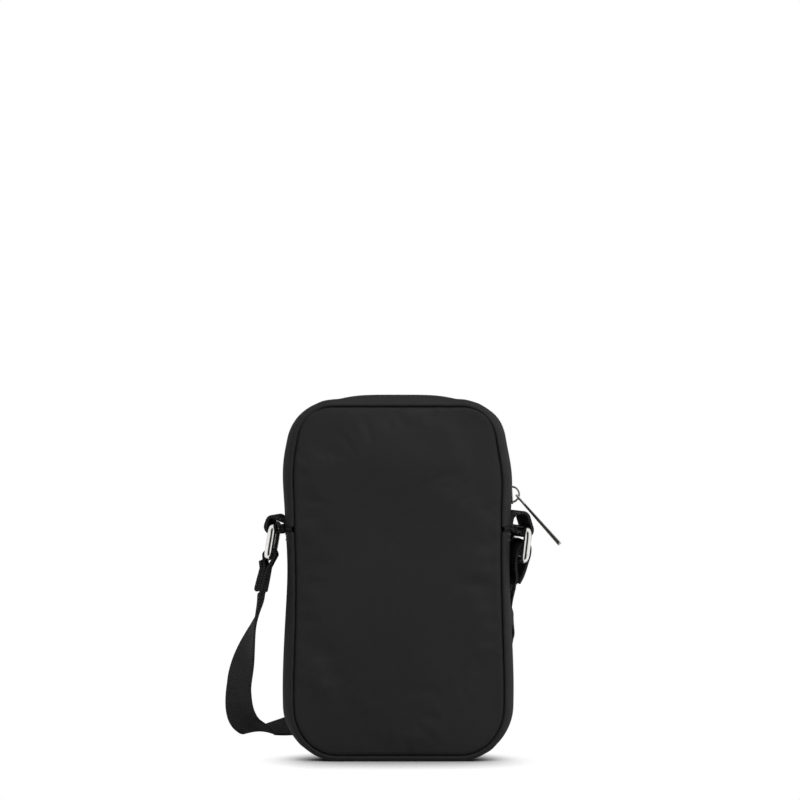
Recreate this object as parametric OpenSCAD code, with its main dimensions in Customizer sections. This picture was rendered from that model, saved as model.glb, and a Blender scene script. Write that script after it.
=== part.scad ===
// Crossbody phone pouch: a padded nylon case with a zip round its upper half,
// two side tabs with metal rings, and a webbing strap that lies coiled behind it.
// +X is right, +Y is away from the photographed face, +Z is up.
// The origin is the middle of the face that the pouch stands on.

/* [Pouch] */
// Width over the gusset at the side seams
pouch_w = 112.6; // [100:0.2:130]
// Height over the gusset
pouch_h = 179.4; // [165:0.2:200]
// Depth between the rims of the two panels
pouch_d = 34; // [30:0.5:44]
// Height of the two side seams
seam_h = 114; // [105:0.5:120]
// Radius of the upper corners
top_r = 22; // [18:0.5:26]
// Radius of the lower corners
bottom_r = 26; // [20:0.5:30]
// How much narrower each side is at the top than at the side seam
top_narrow = 3.2; // [1:0.1:5]
// How much narrower each side is at the bottom than at the side seam
bottom_narrow = 0.3; // [0.1:0.1:2]
// How far each panel swells outward at its middle
panel_crown = 2.6; // [1:0.1:4]
// How far the gusset swells between its two long seams
gusset_swell = 5; // [3.5:0.1:6]
// Flat width along the middle of the gusset
gusset_flat = 14; // [12:0.5:16]

/* [Cloth] */
// Outer nylon of the panels
nylon_t = 0.8; // [0.5:0.1:1.2]
// Lower gusset, nylon with its backing
gusset_t = 1.2; // [0.9:0.1:1.6]
// Nylon strips beside the zip
strip_t = 0.8; // [0.5:0.1:0.9]
// Foam behind each panel
foam_t = 2; // [1:0.1:3]
// Lining
lining_t = 0.4; // [0.3:0.1:0.8]
// Air between two layers of cloth
layer_gap = 0.1; // [0.05:0.01:0.2]
// Width of the tape that binds the long seams inside
binding_w = 6; // [4:0.5:8]
// Thickness of that tape, folded over the seam
binding_t = 1.6; // [1:0.1:2]

/* [Zip] */
// Thickness of each zip tape
tape_t = 0.5; // [0.3:0.05:0.6]
// Width that each tape reaches from the middle of the gusset
tape_reach = 9; // [7.5:0.1:10]
// Middle of the gusset to the edge of the nylon strip
strip_edge = 6.2; // [5.5:0.1:7]
// Width of each half of the coil
coil_w = 2.3; // [2:0.1:2.6]
// Height of the coil over its tape
coil_h = 1.5; // [1.2:0.1:1.8]
// Slit between the two halves
zip_slit = 1.4; // [1.2:0.1:1.6]

/* [Zip slider] */
// Length along the zip
runner_l = 9.6; // [8:0.2:12]
// Width across the zip
runner_w = 8.8; // [8.4:0.1:10]
// Thickness of its upper and lower plates
runner_plate_t = 0.8; // [0.6:0.1:1]
// Thickness of the neck between the plates
runner_neck_t = 0.8; // [0.6:0.05:0.9]
// Height of its middle over the side seam
runner_rise = 16.3; // [15.5:0.1:20]
// Outer radius of the bridge that holds the puller
bridge_r = 4.3; // [4:0.1:4.5]
// Thickness of the bridge
bridge_t = 1; // [0.8:0.05:1]
// Width of the bridge
bridge_w = 2; // [1.6:0.1:2.4]

/* [Puller] */
// Length from its pivot to its free end
puller_l = 32.4; // [24:0.2:40]
// Width of the bar
puller_w = 4.4; // [4.2:0.1:6]
// Thickness at the eye
puller_t = 1.2; // [1:0.1:1.4]
// Thickness at the free end
puller_end_t = 2; // [1.2:0.1:2.4]
// Diameter of the cross bar that sits in the bridge
puller_pin_d = 1.2; // [1:0.05:1.3]
// Length of the eye that the bridge passes through
puller_eye_l = 5; // [4.8:0.1:7]
// Angle at rest, out from straight down, where the bar leans on the tab
puller_rest = 41.6; // [38:0.1:60]

/* [Tabs] */
// Width of the webbing
tab_w = 15; // [12:0.5:16]
// Thickness of the webbing
tab_t = 1.4; // [1:0.1:1.5]
// How far the sewn ends reach inside the seam
tab_root = 4; // [3:0.5:6]
// Bar of the left ring, out from the seam
left_bar_out = 4.6; // [4.5:0.1:7]
// Bar of the left ring, over the seam
left_bar_up = 0.6; // [-1:0.1:2]
// Radius of the left tab's bulge
left_bulge_r = 3.9; // [3.6:0.1:4.2]
// Bulge of the left tab, out from the ring's bar
left_bulge_out = 0.2; // [0:0.1:1]
// Bulge of the left tab, over the ring's bar
left_bulge_up = 2.4; // [2:0.1:4]
// Bar of the right ring, out from the seam
right_bar_out = 6.1; // [6:0.1:8]
// Bar of the right ring, over the seam
right_bar_up = -1.1; // [-2:0.1:0]
// Radius of the right tab's bulge
right_bulge_r = 4.5; // [4:0.1:4.6]
// Bulge of the right tab, out from the ring's bar
right_bulge_out = -0.9; // [-0.9:0.1:0]
// Bulge of the right tab, over the ring's bar
right_bulge_up = 5.4; // [4:0.1:5.5]

/* [Rings] */
// Diameter of the ring's wire
wire_d = 4; // [3:0.1:4]
// Height of a ring over all
ring_h = 18.9; // [16:0.1:22]
// Width of a ring over all
ring_w = 25; // [24.5:0.5:26]
// Radius of a ring's corners at the middle of the wire
ring_corner_r = 3.6; // [3:0.1:4]
// Lean of the left ring, its lower end outward
left_lean = 10; // [0:0.5:20]
// Lean of the right ring, its lower end inward
right_lean = 7; // [0:0.5:8]
// Play between a ring's wire and the webbing round it
ring_play = 0.15; // [0.1:0.01:0.2]

/* [Strap] */
// Width of the strap
strap_w = 15; // [12:0.5:15]
// Thickness of the strap
strap_t = 1.3; // [1:0.1:1.4]
// Length of the sewn fold under the left ring
left_fold_l = 17; // [12:0.5:20]
// Lean of the left fold, its lower end outward
left_fold_lean = 15; // [10:0.5:30]
// Length of the fold under the right ring
right_fold_l = 12; // [9:0.5:14]
// Lean of the right fold, its lower end inward
right_fold_lean = 8; // [5:0.5:9]
// Radius of the strap's coil behind the pouch
strap_coil_r = 30; // [28:0.5:36]
// Straight stretch between the two round ends of the coil
strap_coil_straight = 36; // [30:1:40]
// Distance from one turn of the coil to the next
strap_coil_pitch = 3; // [2.6:0.1:4]
// Air between the pouch and the coil
strap_coil_gap = 8; // [5:0.5:20]
// How far the coil lies to the right of the pouch's middle
strap_coil_shift = 8; // [4:1:12]

/* [Strap adjuster] */
// Diameter of the adjuster's wire
adjuster_wire_d = 1.8; // [1.4:0.1:2]
// Length of the adjuster along the strap
adjuster_l = 15; // [14:0.5:18]
// Width of the adjuster across the strap
adjuster_w = 20; // [19:0.5:22]

/* [Hidden] */

overrun = 1;
round_fn = 48;
corner_fn = 96;

half_w = pouch_w / 2;
half_d = pouch_d / 2;
rim = half_d - nylon_t - layer_gap;
shoulder_r = (pow(half_d - gusset_flat / 2, 2) + pow(gusset_swell, 2)) / (2 * gusset_swell);
top_x = half_w - top_narrow - top_r;
top_z = pouch_h - top_r;
bottom_x = half_w - bottom_narrow - bottom_r;

// Lean from the vertical of a side that touches a corner circle and passes the side seam.
function side_lean(x, rise, r) = atan2(half_w - x, rise) - asin(r / norm([half_w - x, rise]));
upper_lean = side_lean(top_x, top_z - seam_h, top_r);
lower_lean = side_lean(bottom_x, seam_h - bottom_r, bottom_r);
upper_side_l = sqrt(pow(norm([half_w - top_x, top_z - seam_h]), 2) - pow(top_r, 2));
lower_side_l = sqrt(pow(norm([half_w - bottom_x, seam_h - bottom_r]), 2) - pow(bottom_r, 2));

// Depth of the gusset's surface below its middle, at a distance y from the middle.
function skin(y, drop) =
    let (past = max(0, abs(y) - gusset_flat / 2))
    sqrt(pow(shoulder_r - drop, 2) - pow(past, 2)) - shoulder_r;
panel_inset = -skin(rim, 0) + layer_gap;

seam_gap = 2 * tab_t + 2 * layer_gap;
tape_drop = strip_t + layer_gap;
coil_top = coil_h - tape_drop;

// Places that follow the zip's right side: s runs up from the seam, out is away from the bag.
function zip_place(s, out) = [
    half_w - s * sin(upper_lean) + out * cos(upper_lean),
    seam_h + s * cos(upper_lean) + out * sin(upper_lean)
];

bridge_foot = coil_top + 2 * layer_gap + runner_plate_t + layer_gap;
bridge_rise = bridge_foot - bridge_t / 2;
pivot_along_share = -0.19;
pivot_out_share = 0.57;
pivot = zip_place(
    runner_rise + bridge_r * pivot_along_share,
    bridge_rise + bridge_r * pivot_out_share
);

left_bar = [-half_w - left_bar_out, seam_h + left_bar_up];
right_bar = [half_w + right_bar_out, seam_h + right_bar_up];
left_bulge = left_bar + [-left_bulge_out, left_bulge_up];
right_bulge = right_bar + [right_bulge_out, right_bulge_up];
bar_gap = ring_h - wire_d;
left_low_bar = left_bar + bar_gap * [-sin(left_lean), -cos(left_lean)];
right_low_bar = right_bar + bar_gap * [-sin(right_lean), -cos(right_lean)];
eye_r = wire_d / 2 + ring_play;

// The puller hangs at its rest angle, or further out where the right tab's bulge pushes it.
puller_reach = right_bulge_r + (puller_t + puller_end_t) / 4 + 2 * layer_gap;
to_bulge = right_bulge - pivot;
puller_angle = max(puller_rest, atan2(to_bulge[0], -to_bulge[1]) + asin(puller_reach / norm(to_bulge)));

// The pouch lies in a plane of its own: x to the right, y up, z towards the viewer.
module stand() {
    rotate([90, 0, 0]) children();
}

// Sweeps a profile along a straight edge at an angle, up to a place.
// The profile's x points out of the bag and its y towards the viewer.
module along_line(place, angle, length) {
    translate([place[0], place[1], 0]) rotate([0, 0, angle - 90]) rotate([90, 0, 0])
        linear_extrude(length) children();
}

// Sweeps a profile round a corner circle.
module along_arc(centre, r, from, sweep) {
    translate([centre[0], centre[1], 0]) rotate([0, 0, from])
        rotate_extrude(angle = sweep, $fn = corner_fn) translate([r, 0]) children();
}

// The upper half of the gusset: up the right side, over the top and down the left.
// It starts a distance along the zip from the side seam.
module upper_run(start) {
    stand() {
        for (side = [0, 1]) mirror([side, 0, 0]) {
            along_line([top_x + top_r * cos(upper_lean), top_z + top_r * sin(upper_lean)],
                90 + upper_lean, upper_side_l - start) children();
            along_arc([top_x, top_z], top_r, upper_lean, 90 - upper_lean) children();
        }
        along_line([-top_x, pouch_h], 180, 2 * top_x) children();
    }
}

// A thin band that needs no bore, as flat facets: one section at each station of a list, where
// a station is a place on the outline and the angle at which it faces.
run_steps = 12;
function facing(centre, r, from, to) = [
    for (i = [0:run_steps]) let (a = from + (to - from) * i / run_steps)
        [centre[0] + r * cos(a), centre[1] + r * sin(a), a]
];
function mirrored(stations) = let (last = len(stations) - 1) [
    for (i = [last:-1:0]) [-stations[i][0], stations[i][1], 180 - stations[i][2]]
];
function side_station(centre, r, lean, length) = [
    centre[0] + r * cos(lean) + length * sin(lean),
    centre[1] + r * sin(lean) - length * cos(lean),
    lean
];
function upper_stations(start) = let (
    right = concat(
        [side_station([top_x, top_z], top_r, upper_lean, upper_side_l - start)],
        facing([top_x, top_z], top_r, upper_lean, 90)
    )
) concat(right, mirrored(right));
function lower_stations(stop) = let (
    right = concat(
        facing([bottom_x, bottom_r], bottom_r, -90, -lower_lean),
        [side_station([bottom_x, bottom_r], bottom_r, -lower_lean, stop - lower_side_l)]
    )
) concat(mirrored(right), right);
module banded(stations, section) {
    n = len(section);
    last = (len(stations) - 1) * n;
    points = [
        for (s = stations, p = section) [s[0] + p[0] * cos(s[2]), -p[1], s[1] + p[0] * sin(s[2])]
    ];
    polyhedron(points, concat(
        [for (k = [0:len(stations) - 2], i = [0:n - 1]) let (a = k * n + i, b = k * n + (i + 1) % n)
            each [[a, a + n, b], [b, a + n, b + n]]],
        [[for (i = [0:n - 1]) i], [for (i = [n - 1:-1:0]) last + i]]
    ), convexity = 8);
}

// A band of cloth that follows the swell of the gusset between two distances from its middle.
shoulder_steps = 4;
shoulder_w = rim - gusset_flat / 2;
shoulder_ys = [for (i = [0:shoulder_steps - 1]) gusset_flat / 2 + shoulder_w * i / shoulder_steps];
function band_section(drop, thick, low, high) = let (
    stops = concat([for (i = [shoulder_steps - 1:-1:0]) -shoulder_ys[i]], shoulder_ys),
    inner = [for (y = stops) if (y > low + layer_gap && y < high - layer_gap) y],
    ys = concat([low], inner, [high]),
    last = len(ys) - 1
) concat(
    [for (i = [last:-1:0]) [skin(ys[i], drop), ys[i]]],
    [for (y = ys) [skin(y, drop + thick), y]]
);
module skin_band(drop, thick, low, high) {
    polygon(band_section(drop, thick, low, high));
}

// Outline of a panel, a distance in from the gusset's own outline, anticlockwise from the bottom.
corner_steps = 6;
function corner(centre, r, from, to) = [
    for (i = [0:corner_steps]) let (a = from + (to - from) * i / corner_steps) centre + r * [cos(a), sin(a)]
];
function midway(a, b) = (a + b) / 2;
function outline(inset) = let (
    low = corner([bottom_x, bottom_r], bottom_r - inset, 270, 360 - lower_lean),
    high = corner([top_x, top_z], top_r - inset, upper_lean, 90),
    waist = [half_w - inset, seam_h],
    side = [midway(low[corner_steps], waist), waist, midway(waist, high[0])],
    right = concat([[0, inset]], low, side, high),
    last = len(right) - 1
) concat(right, [[0, pouch_h - inset]], [for (i = [last:-1:1]) [-right[i][0], right[i][1]]]);

// A swollen sheet inside an outline: level at its rim and highest at its middle.
crown_rings = 5;
crown_power = 2.4;
function crown_at(share) = panel_crown * (1 - pow(share, crown_power));
module swollen_sheet(inset, level, thick) {
    rim_points = outline(inset);
    n = len(rim_points);
    middle = [0, pouch_h / 2];
    function ring(share, base) = [
        for (p = rim_points) let (q = middle + (p - middle) * share) [q[0], q[1], base + crown_at(share)]
    ];
    shares = [for (i = [0:crown_rings - 1]) 1 - i / crown_rings];
    tops = [for (s = shares) each ring(s, level)];
    bottoms = [for (s = shares) each ring(s, level - thick)];
    apex = crown_at(0);
    points = concat(
        tops, bottoms,
        [[middle[0], middle[1], level + apex], [middle[0], middle[1], level - thick + apex]]
    );
    under = crown_rings * n;
    top_apex = 2 * under;
    faces = concat(
        [for (k = [0:crown_rings - 2], i = [0:n - 1]) let (j = (i + 1) % n)
            each [[k * n + i, (k + 1) * n + i, k * n + j], [k * n + j, (k + 1) * n + i, (k + 1) * n + j]]],
        [for (i = [0:n - 1]) let (j = (i + 1) % n, k = (crown_rings - 1) * n) [k + i, top_apex, k + j]],
        [for (k = [0:crown_rings - 2], i = [0:n - 1]) let (j = (i + 1) % n, u = under)
            each [[u + k * n + i, u + k * n + j, u + (k + 1) * n + i],
                [u + k * n + j, u + (k + 1) * n + j, u + (k + 1) * n + i]]],
        [for (i = [0:n - 1]) let (j = (i + 1) % n, k = under + (crown_rings - 1) * n)
            [k + i, k + j, top_apex + 1]],
        [for (i = [0:n - 1]) let (j = (i + 1) % n)
            each [[i, j, under + j], [i, under + j, under + i]]]
    );
    polyhedron(points, faces, convexity = 4);
}

// One layer of a panel on the viewer's side, or on the far side.
module panel_layer(far, inset, depth, thick) {
    mirror([0, far, 0]) stand() swollen_sheet(inset, half_d - depth, thick);
}

foam_depth = nylon_t + layer_gap;
lining_depth = foam_depth + foam_t + layer_gap;
binding_reach = binding_t + 2 * layer_gap - skin(rim, gusset_t);
foam_inset = binding_reach + layer_gap;

module front_panel() { color("#29292a") panel_layer(0, panel_inset, 0, nylon_t); }
module back_panel() { color("#29292a") panel_layer(1, panel_inset, 0, nylon_t); }
module front_foam() { color("#55555a") panel_layer(0, foam_inset, foam_depth, foam_t); }
module back_foam() { color("#55555a") panel_layer(1, foam_inset, foam_depth, foam_t); }
module front_lining() { color("#1c1c20") panel_layer(0, foam_inset, lining_depth, lining_t); }
module back_lining() { color("#1c1c20") panel_layer(1, foam_inset, lining_depth, lining_t); }

// The two halves of the gusset stop short of each other, and the tab passes between them.
tab_clear = tab_t + layer_gap;
module lower_gusset() {
    color("#2b2b2c") banded(lower_stations(tab_clear), band_section(0, gusset_t, -rim, rim));
}

// Tape that binds the ends of the two halves on either side of a tab.
module side_seam_tapes() {
    tape_h = 2 * tab_clear - 4 * layer_gap;
    color("#202022") for (side = [0, 1], far = [0, 1]) mirror([side, 0, 0]) mirror([0, far, 0])
        translate([half_w, 0, seam_h - tape_h / 2 - layer_gap]) linear_extrude(tape_h)
            skin_band(0, strip_t, tab_w / 2 + layer_gap, rim);
}

module gusset_lining() {
    reach = rim - binding_w;
    color("#1c1c20")
        banded(lower_stations(seam_gap), band_section(gusset_t + layer_gap, lining_t, -reach, reach));
}

// Binding tape folded over the long seam inside.
module binding(far) {
    color("#202022") mirror([0, far, 0]) {
        banded(upper_stations(strip_t), binding_section(strip_t));
        banded(lower_stations(strip_t), binding_section(gusset_t));
    }
}

function binding_section(wall_t) = let (
    outer = skin(rim, wall_t) - layer_gap,
    high = rim,
    low = rim - binding_w / 2
) [[outer, low], [outer - binding_t, low], [outer - binding_t, high], [outer, high]];

module front_binding() { binding(0); }
module back_binding() { binding(1); }

module zip_strip(far) {
    color("#2b2b2c") mirror([0, far, 0])
        banded(upper_stations(tab_clear + layer_gap), band_section(0, strip_t, strip_edge, rim));
}
module zip_strip_front() { zip_strip(0); }
module zip_strip_back() { zip_strip(1); }

module zip_tape(far) {
    low = zip_slit / 2;
    section = [
        [-tape_drop, low], [-tape_drop - tape_t, low], [-tape_drop - tape_t, gusset_flat / 2],
        [skin(tape_reach, tape_drop + tape_t), tape_reach], [skin(tape_reach, tape_drop), tape_reach],
        [-tape_drop, gusset_flat / 2]
    ];
    color("#17171a") mirror([0, far, 0]) banded(upper_stations(seam_gap), section);
}
module zip_tape_front() { zip_tape(0); }
module zip_tape_back() { zip_tape(1); }

// Half of the coil, a rounded ridge on the tape's edge.
module zip_coil(far) {
    coil_slope = coil_h / 3;
    base = -tape_drop + layer_gap / 2;
    near = zip_slit / 2;
    color("#0e0e10") mirror([0, far, 0]) upper_run(stop_rise + stop_l + layer_gap) polygon([
        [base, near], [coil_top, near], [coil_top, near + coil_w - coil_slope],
        [coil_top - coil_slope, near + coil_w], [base, near + coil_w]
    ]);
}
module zip_coil_front() { zip_coil(0); }
module zip_coil_back() { zip_coil(1); }

stop_l = 2.4;
stop_rise = 3.2;
// A stop that is crimped over both tapes at each end of the coil.
module zip_end_stops() {
    color("silver") for (side = [0, 1]) mirror([side, 0, 0]) stand()
        translate([zip_place(stop_rise, 0)[0], zip_place(stop_rise, 0)[1], 0])
            rotate([0, 0, upper_lean]) translate([-tape_drop + layer_gap / 2, 0, -coil_w])
                cube([coil_h - layer_gap, stop_l, 2 * coil_w]);
}

// Puts what is drawn round the zip slider's middle in its place: x out, y up along the zip.
module on_runner() {
    stand() translate([zip_place(runner_rise, 0)[0], zip_place(runner_rise, 0)[1], 0])
        rotate([0, 0, upper_lean]) children();
}

plate_low = coil_top + 2 * layer_gap;
under_plate_top = -tape_drop - tape_t - 2 * layer_gap;
neck_share = 0.25;
flange_share = 0.75;
module zip_slider_body() {
    flange_t = runner_plate_t;
    inner = runner_w / 2 - flange_t;
    flange_foot = -tape_drop + 2 * layer_gap;
    flange_l = runner_l * flange_share;
    color("silver") on_runner() {
        translate([plate_low, 0, 0]) rotate([0, 90, 0]) linear_extrude(runner_plate_t)
            rotate([0, 0, 90]) runner_plate();
        translate([under_plate_top - runner_plate_t, 0, 0]) rotate([0, 90, 0])
            linear_extrude(runner_plate_t) rotate([0, 0, 90]) runner_plate();
        for (side = [-1, 1]) translate([
                flange_foot, runner_l / 2 - flange_l, side * (inner + flange_t / 2) - flange_t / 2
            ]) cube([plate_low - flange_foot, flange_l, flange_t]);
        translate([under_plate_top - runner_plate_t / 2, -runner_l / 2, -runner_neck_t / 2])
            cube([plate_low - under_plate_top + runner_plate_t, runner_l * neck_share, runner_neck_t]);
    }
}

// Outline of a plate, drawn with x along the zip and y across it.
plate_corner_share = 0.2;
module runner_plate() {
    corner_r = runner_w * plate_corner_share;
    x = runner_l / 2 - corner_r;
    y = runner_w / 2 - corner_r;
    square([runner_l - 2 * corner_r, runner_w], center = true);
    square([runner_l, runner_w - 2 * corner_r], center = true);
    for (i = [-1, 1], j = [-1, 1]) translate([i * x, j * y]) circle(r = corner_r, $fn = round_fn);
}

module zip_slider_bridge() {
    foot = plate_low + runner_plate_t + layer_gap / 2;
    color("silver") on_runner() translate([0, 0, -bridge_w / 2]) linear_extrude(bridge_w) difference() {
        translate([bridge_rise, 0]) circle(r = bridge_r, $fn = corner_fn);
        translate([bridge_rise, 0]) circle(r = bridge_r - bridge_t, $fn = corner_fn);
        translate([foot - pouch_d, -pouch_d]) square([pouch_d, 2 * pouch_d]);
    }
}

// The leaf spring that locks the zip, flat on the slider between the feet of the bridge.
module zip_lock_spring() {
    spring_t = runner_plate_t / 4;
    spring_l = bridge_r;
    color("gainsboro") on_runner()
        translate([plate_low + runner_plate_t + layer_gap / 2, -spring_l / 2, -bridge_w / 2])
            cube([spring_t, spring_l, bridge_w]);
}

// Puts what is drawn round the pivot in its place: y runs down the bar, x is its outer face.
module on_pivot() {
    stand() translate([pivot[0], pivot[1], 0]) rotate([0, 0, puller_angle - 180]) children();
}
bridge_play = 2 * layer_gap;
puller_corner_share = 1 / 3;
module zip_puller() {
    pin_r = puller_pin_d / 2;
    end_r = puller_w * puller_corner_share;
    eye_w = bridge_w + 2 * bridge_play;
    color("silver") on_pivot() {
        translate([0, 0, -puller_w / 2]) cylinder(d = puller_pin_d, h = puller_w, $fn = round_fn);
        difference() {
            translate([0, 0, -puller_w / 2]) linear_extrude(puller_w) polygon([
                [-pin_r, 0], [pin_r, 0], [puller_t / 2, puller_eye_l],
                [puller_end_t / 2, puller_l], [-puller_end_t / 2, puller_l], [-puller_t / 2, puller_eye_l]
            ]);
            translate([-puller_end_t, -pin_r, -eye_w / 2])
                cube([2 * puller_end_t, puller_eye_l + pin_r, eye_w]);
            for (side = [-1, 1]) translate([0, puller_l - end_r, side * (puller_w / 2 - end_r)])
                rotate([0, 90, 0]) difference() {
                    translate([side > 0 ? -end_r - overrun : 0, 0, -puller_end_t])
                        cube([end_r + overrun, end_r + overrun, 2 * puller_end_t]);
                    cylinder(r = end_r, h = 3 * puller_end_t, center = true, $fn = round_fn);
                }
        }
        translate([0, 0, -eye_w / 2]) cylinder(d = puller_pin_d, h = eye_w, $fn = round_fn);
    }
}

// A loop of webbing: out of the seam, over its bulge, round the ring's bar and back.
module tab_shape(side, bar, bulge, bulge_r) {
    root = half_w - tab_root - strip_t;
    stand() translate([0, 0, -tab_w / 2]) linear_extrude(tab_w) {
        difference() {
            hull() {
                translate(bar) circle(r = eye_r + tab_t, $fn = round_fn);
                translate(bulge) circle(r = bulge_r, $fn = round_fn);
            }
            hull() {
                translate(bar) circle(r = eye_r, $fn = round_fn);
                translate(bulge) circle(r = bulge_r - tab_t, $fn = round_fn);
            }
        }
        difference() {
            translate([side > 0 ? root : bar[0], seam_h - tab_t])
                square([abs(bar[0]) - root, 2 * tab_t]);
            hull() {
                translate(bar) circle(r = eye_r + tab_t / 2, $fn = round_fn);
                translate(bulge) circle(r = bulge_r - tab_t / 2, $fn = round_fn);
            }
        }
    }
}
module tab_left() { color("#222224") tab_shape(-1, left_bar, left_bulge, left_bulge_r); }
module tab_right() { color("#222224") tab_shape(1, right_bar, right_bulge, right_bulge_r); }

// Rows of thread across each side of the gusset, beside the seam.
stitch_l = 2.2;
stitch_d = 0.5;
stitch_pitch = 3.1;
stitch_fn = 16;
module side_stitches() {
    drops = [seam_gap / 2 + tab_t, seam_gap / 2 + 3 * tab_t];
    count = floor(gusset_flat / stitch_pitch / 2);
    proud = stitch_d / 2 + layer_gap / 2;
    color("#333336") for (side = [0, 1], drop = drops, i = [-count:count]) mirror([side, 0, 0])
        translate([half_w - drop * sin(lower_lean) + proud, i * stitch_pitch, seam_h - drop])
            rotate([90, 0, 0]) cylinder(d = stitch_d, h = stitch_l, center = true, $fn = stitch_fn);
}

// A ring of round wire, hung from the middle of its upper bar and turned by its lean.
module ring(bar, lean) {
    x = ring_w / 2 - wire_d / 2 - ring_corner_r;
    drop = bar_gap - 2 * ring_corner_r;
    color("silver") stand() translate([bar[0], bar[1], 0]) rotate([0, 0, lean]) rotate([0, 90, 0]) {
        for (y = [0, -bar_gap]) translate([-x, y, 0]) rotate([0, 90, 0])
            cylinder(d = wire_d, h = 2 * x, $fn = corner_fn);
        for (side = [-1, 1]) {
            translate([side * (x + ring_corner_r), -ring_corner_r, 0]) rotate([90, 0, 0])
                cylinder(d = wire_d, h = drop, $fn = corner_fn);
        }
        for (side = [0, 1], low = [0, 1])
            mirror([side, 0, 0]) translate([x, low ? -bar_gap + ring_corner_r : -ring_corner_r, 0])
                rotate([0, 0, low ? -90 : 0]) rotate_extrude(angle = 90, $fn = corner_fn)
                    translate([ring_corner_r, 0]) circle(d = wire_d, $fn = corner_fn);
    }
}
module ring_left() { ring(left_bar, -left_lean); }
module ring_right() { ring(right_bar, -right_lean); }

// Webbing folded round a ring's lower bar, with a thicker tail where its end is turned in.
fold_air = 2 * layer_gap;
module fold(bar, lean, length, tail) {
    color("#222224") stand() translate([bar[0], bar[1], -strap_w / 2]) rotate([0, 0, lean])
        linear_extrude(strap_w) {
            difference() {
                hull() {
                    circle(r = eye_r + strap_t, $fn = round_fn);
                    translate([0, -length + strap_t]) circle(r = strap_t, $fn = round_fn);
                }
                hull() {
                    circle(r = eye_r, $fn = round_fn);
                    translate([0, -length + 3 * strap_t]) circle(r = fold_air / 2, $fn = round_fn);
                }
            }
            if (tail) translate([-strap_t, -length + 2 * strap_t]) circle(r = strap_t, $fn = round_fn);
        }
}
module strap_fold_left() { fold(left_low_bar, -left_fold_lean, left_fold_l, true); }
module strap_fold_right() { fold(right_low_bar, -right_fold_lean, right_fold_l, false); }

// Geometry of a flat strap along a list of stations, each a place and the way its width points.
function unit(v) = v / norm(v);
function way(places, i) = unit(places[min(i + 1, len(places) - 1)] - places[max(i - 1, 0)]);
function across(place_way, side) = unit(side - (side * place_way) * place_way);
function strap_corners(places, sides) = [
    for (i = [0:len(places) - 1])
        let (t = way(places, i), w = across(t, sides[i]) * strap_w / 2, n = cross(t, unit(w)) * strap_t / 2)
        each [places[i] + w + n, places[i] - w + n, places[i] - w - n, places[i] + w - n]
];
module ribbon(places, sides) {
    last = 4 * (len(places) - 1);
    faces = concat(
        [for (i = [0:len(places) - 2], k = [0:3]) let (a = 4 * i + k, b = 4 * i + (k + 1) % 4)
            each [[a, a + 4, b], [b, a + 4, b + 4]]],
        [[0, 1, 2], [0, 2, 3], [last, last + 2, last + 1], [last, last + 3, last + 2]]
    );
    polyhedron(strap_corners(places, sides), faces, convexity = 10);
}

// A smooth curve from one place to another with given directions and reach.
function hermite(a, b, ta, tb, u) =
    (2 * pow(u, 3) - 3 * pow(u, 2) + 1) * a + (pow(u, 3) - 2 * pow(u, 2) + u) * ta
    + (3 * pow(u, 2) - 2 * pow(u, 3)) * b + (pow(u, 3) - pow(u, 2)) * tb;
function ease(u) = u * u * (3 - 2 * u);
function stretch(a, b, ta, tb, steps, skip) = [for (i = [skip:steps]) hermite(a, b, ta, tb, i / steps)];
function turning(a, b, steps, skip) = [for (i = [skip:steps]) a + (b - a) * ease(i / steps)];

// The coil: a stadium spiral that stands on the strap's edge behind the pouch.
coil_middle_y = half_d + panel_crown + strap_coil_gap + strap_coil_r;
coil_half = strap_coil_straight / 2;
coil_turns = 3;
turn_steps = 9;
function coil_radius(u) = strap_coil_r - strap_coil_pitch * u;
function coil_place(x, a, r) = [
    strap_coil_shift + x + r * cos(a), coil_middle_y + r * sin(a), strap_w / 2
];
function coil_turn(turn) = concat(
    [for (i = [0:turn_steps]) coil_place(
        coil_half, 90 - 180 * i / turn_steps, coil_radius(turn + i / turn_steps / 2))],
    [for (i = [0:turn_steps]) coil_place(
        -coil_half, 270 - 180 * i / turn_steps, coil_radius(turn + (1 + i / turn_steps) / 2))]
);
coil_start = coil_place(-coil_half, 90, strap_coil_r);
coil_finish = coil_place(coil_half / 2, 90, coil_radius(coil_turns));
coil_places = concat([coil_start], [for (turn = [0:coil_turns - 1]) each coil_turn(turn)], [coil_finish]);
upright = [0, 0, -1];
module strap_coil() {
    color("#222224") ribbon(coil_places, [for (p = coil_places) upright]);
}

// The left stretch falls from its ring, swings out, and turns on to its edge behind the pouch.
// Each stretch leaves its neighbour squarely, with a short straight lead.
join_gap = 0.3;
lead = 1.2;
function fold_end(bar, lean, length) = [
    bar[0] - sin(lean) * (length + join_gap), 0, bar[1] - cos(lean) * (length + join_gap)
];
function fold_way(lean) = [-sin(lean), 0, -cos(lean)];
drop_start = fold_end(left_low_bar, left_fold_lean, left_fold_l);
drop_h = drop_start[2];
bulge_shares = [-0.287, 0.257, 0.42];
bulge_place = [-half_w, 0, 0] + drop_h * bulge_shares;
bulge_way = [-0.06, 0.31, -1];
foot_out_share = 0.1;
foot_back_share = -0.1;
foot_rise_share = 0.33;
foot_place = [
    -half_w - drop_h * foot_out_share, coil_middle_y - strap_w * foot_back_share, strap_w * foot_rise_share
];
foot_way = [0.93, 0.41, 0];
drop_steps = 8;
drop_way = fold_way(left_fold_lean);
drop_join = coil_start - [join_gap, 0, 0];
drop_leave_shares = [0.39, 0.52, 0.5];
drop_arrive_shares = [0.43, 0.49, 0.85];
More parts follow.
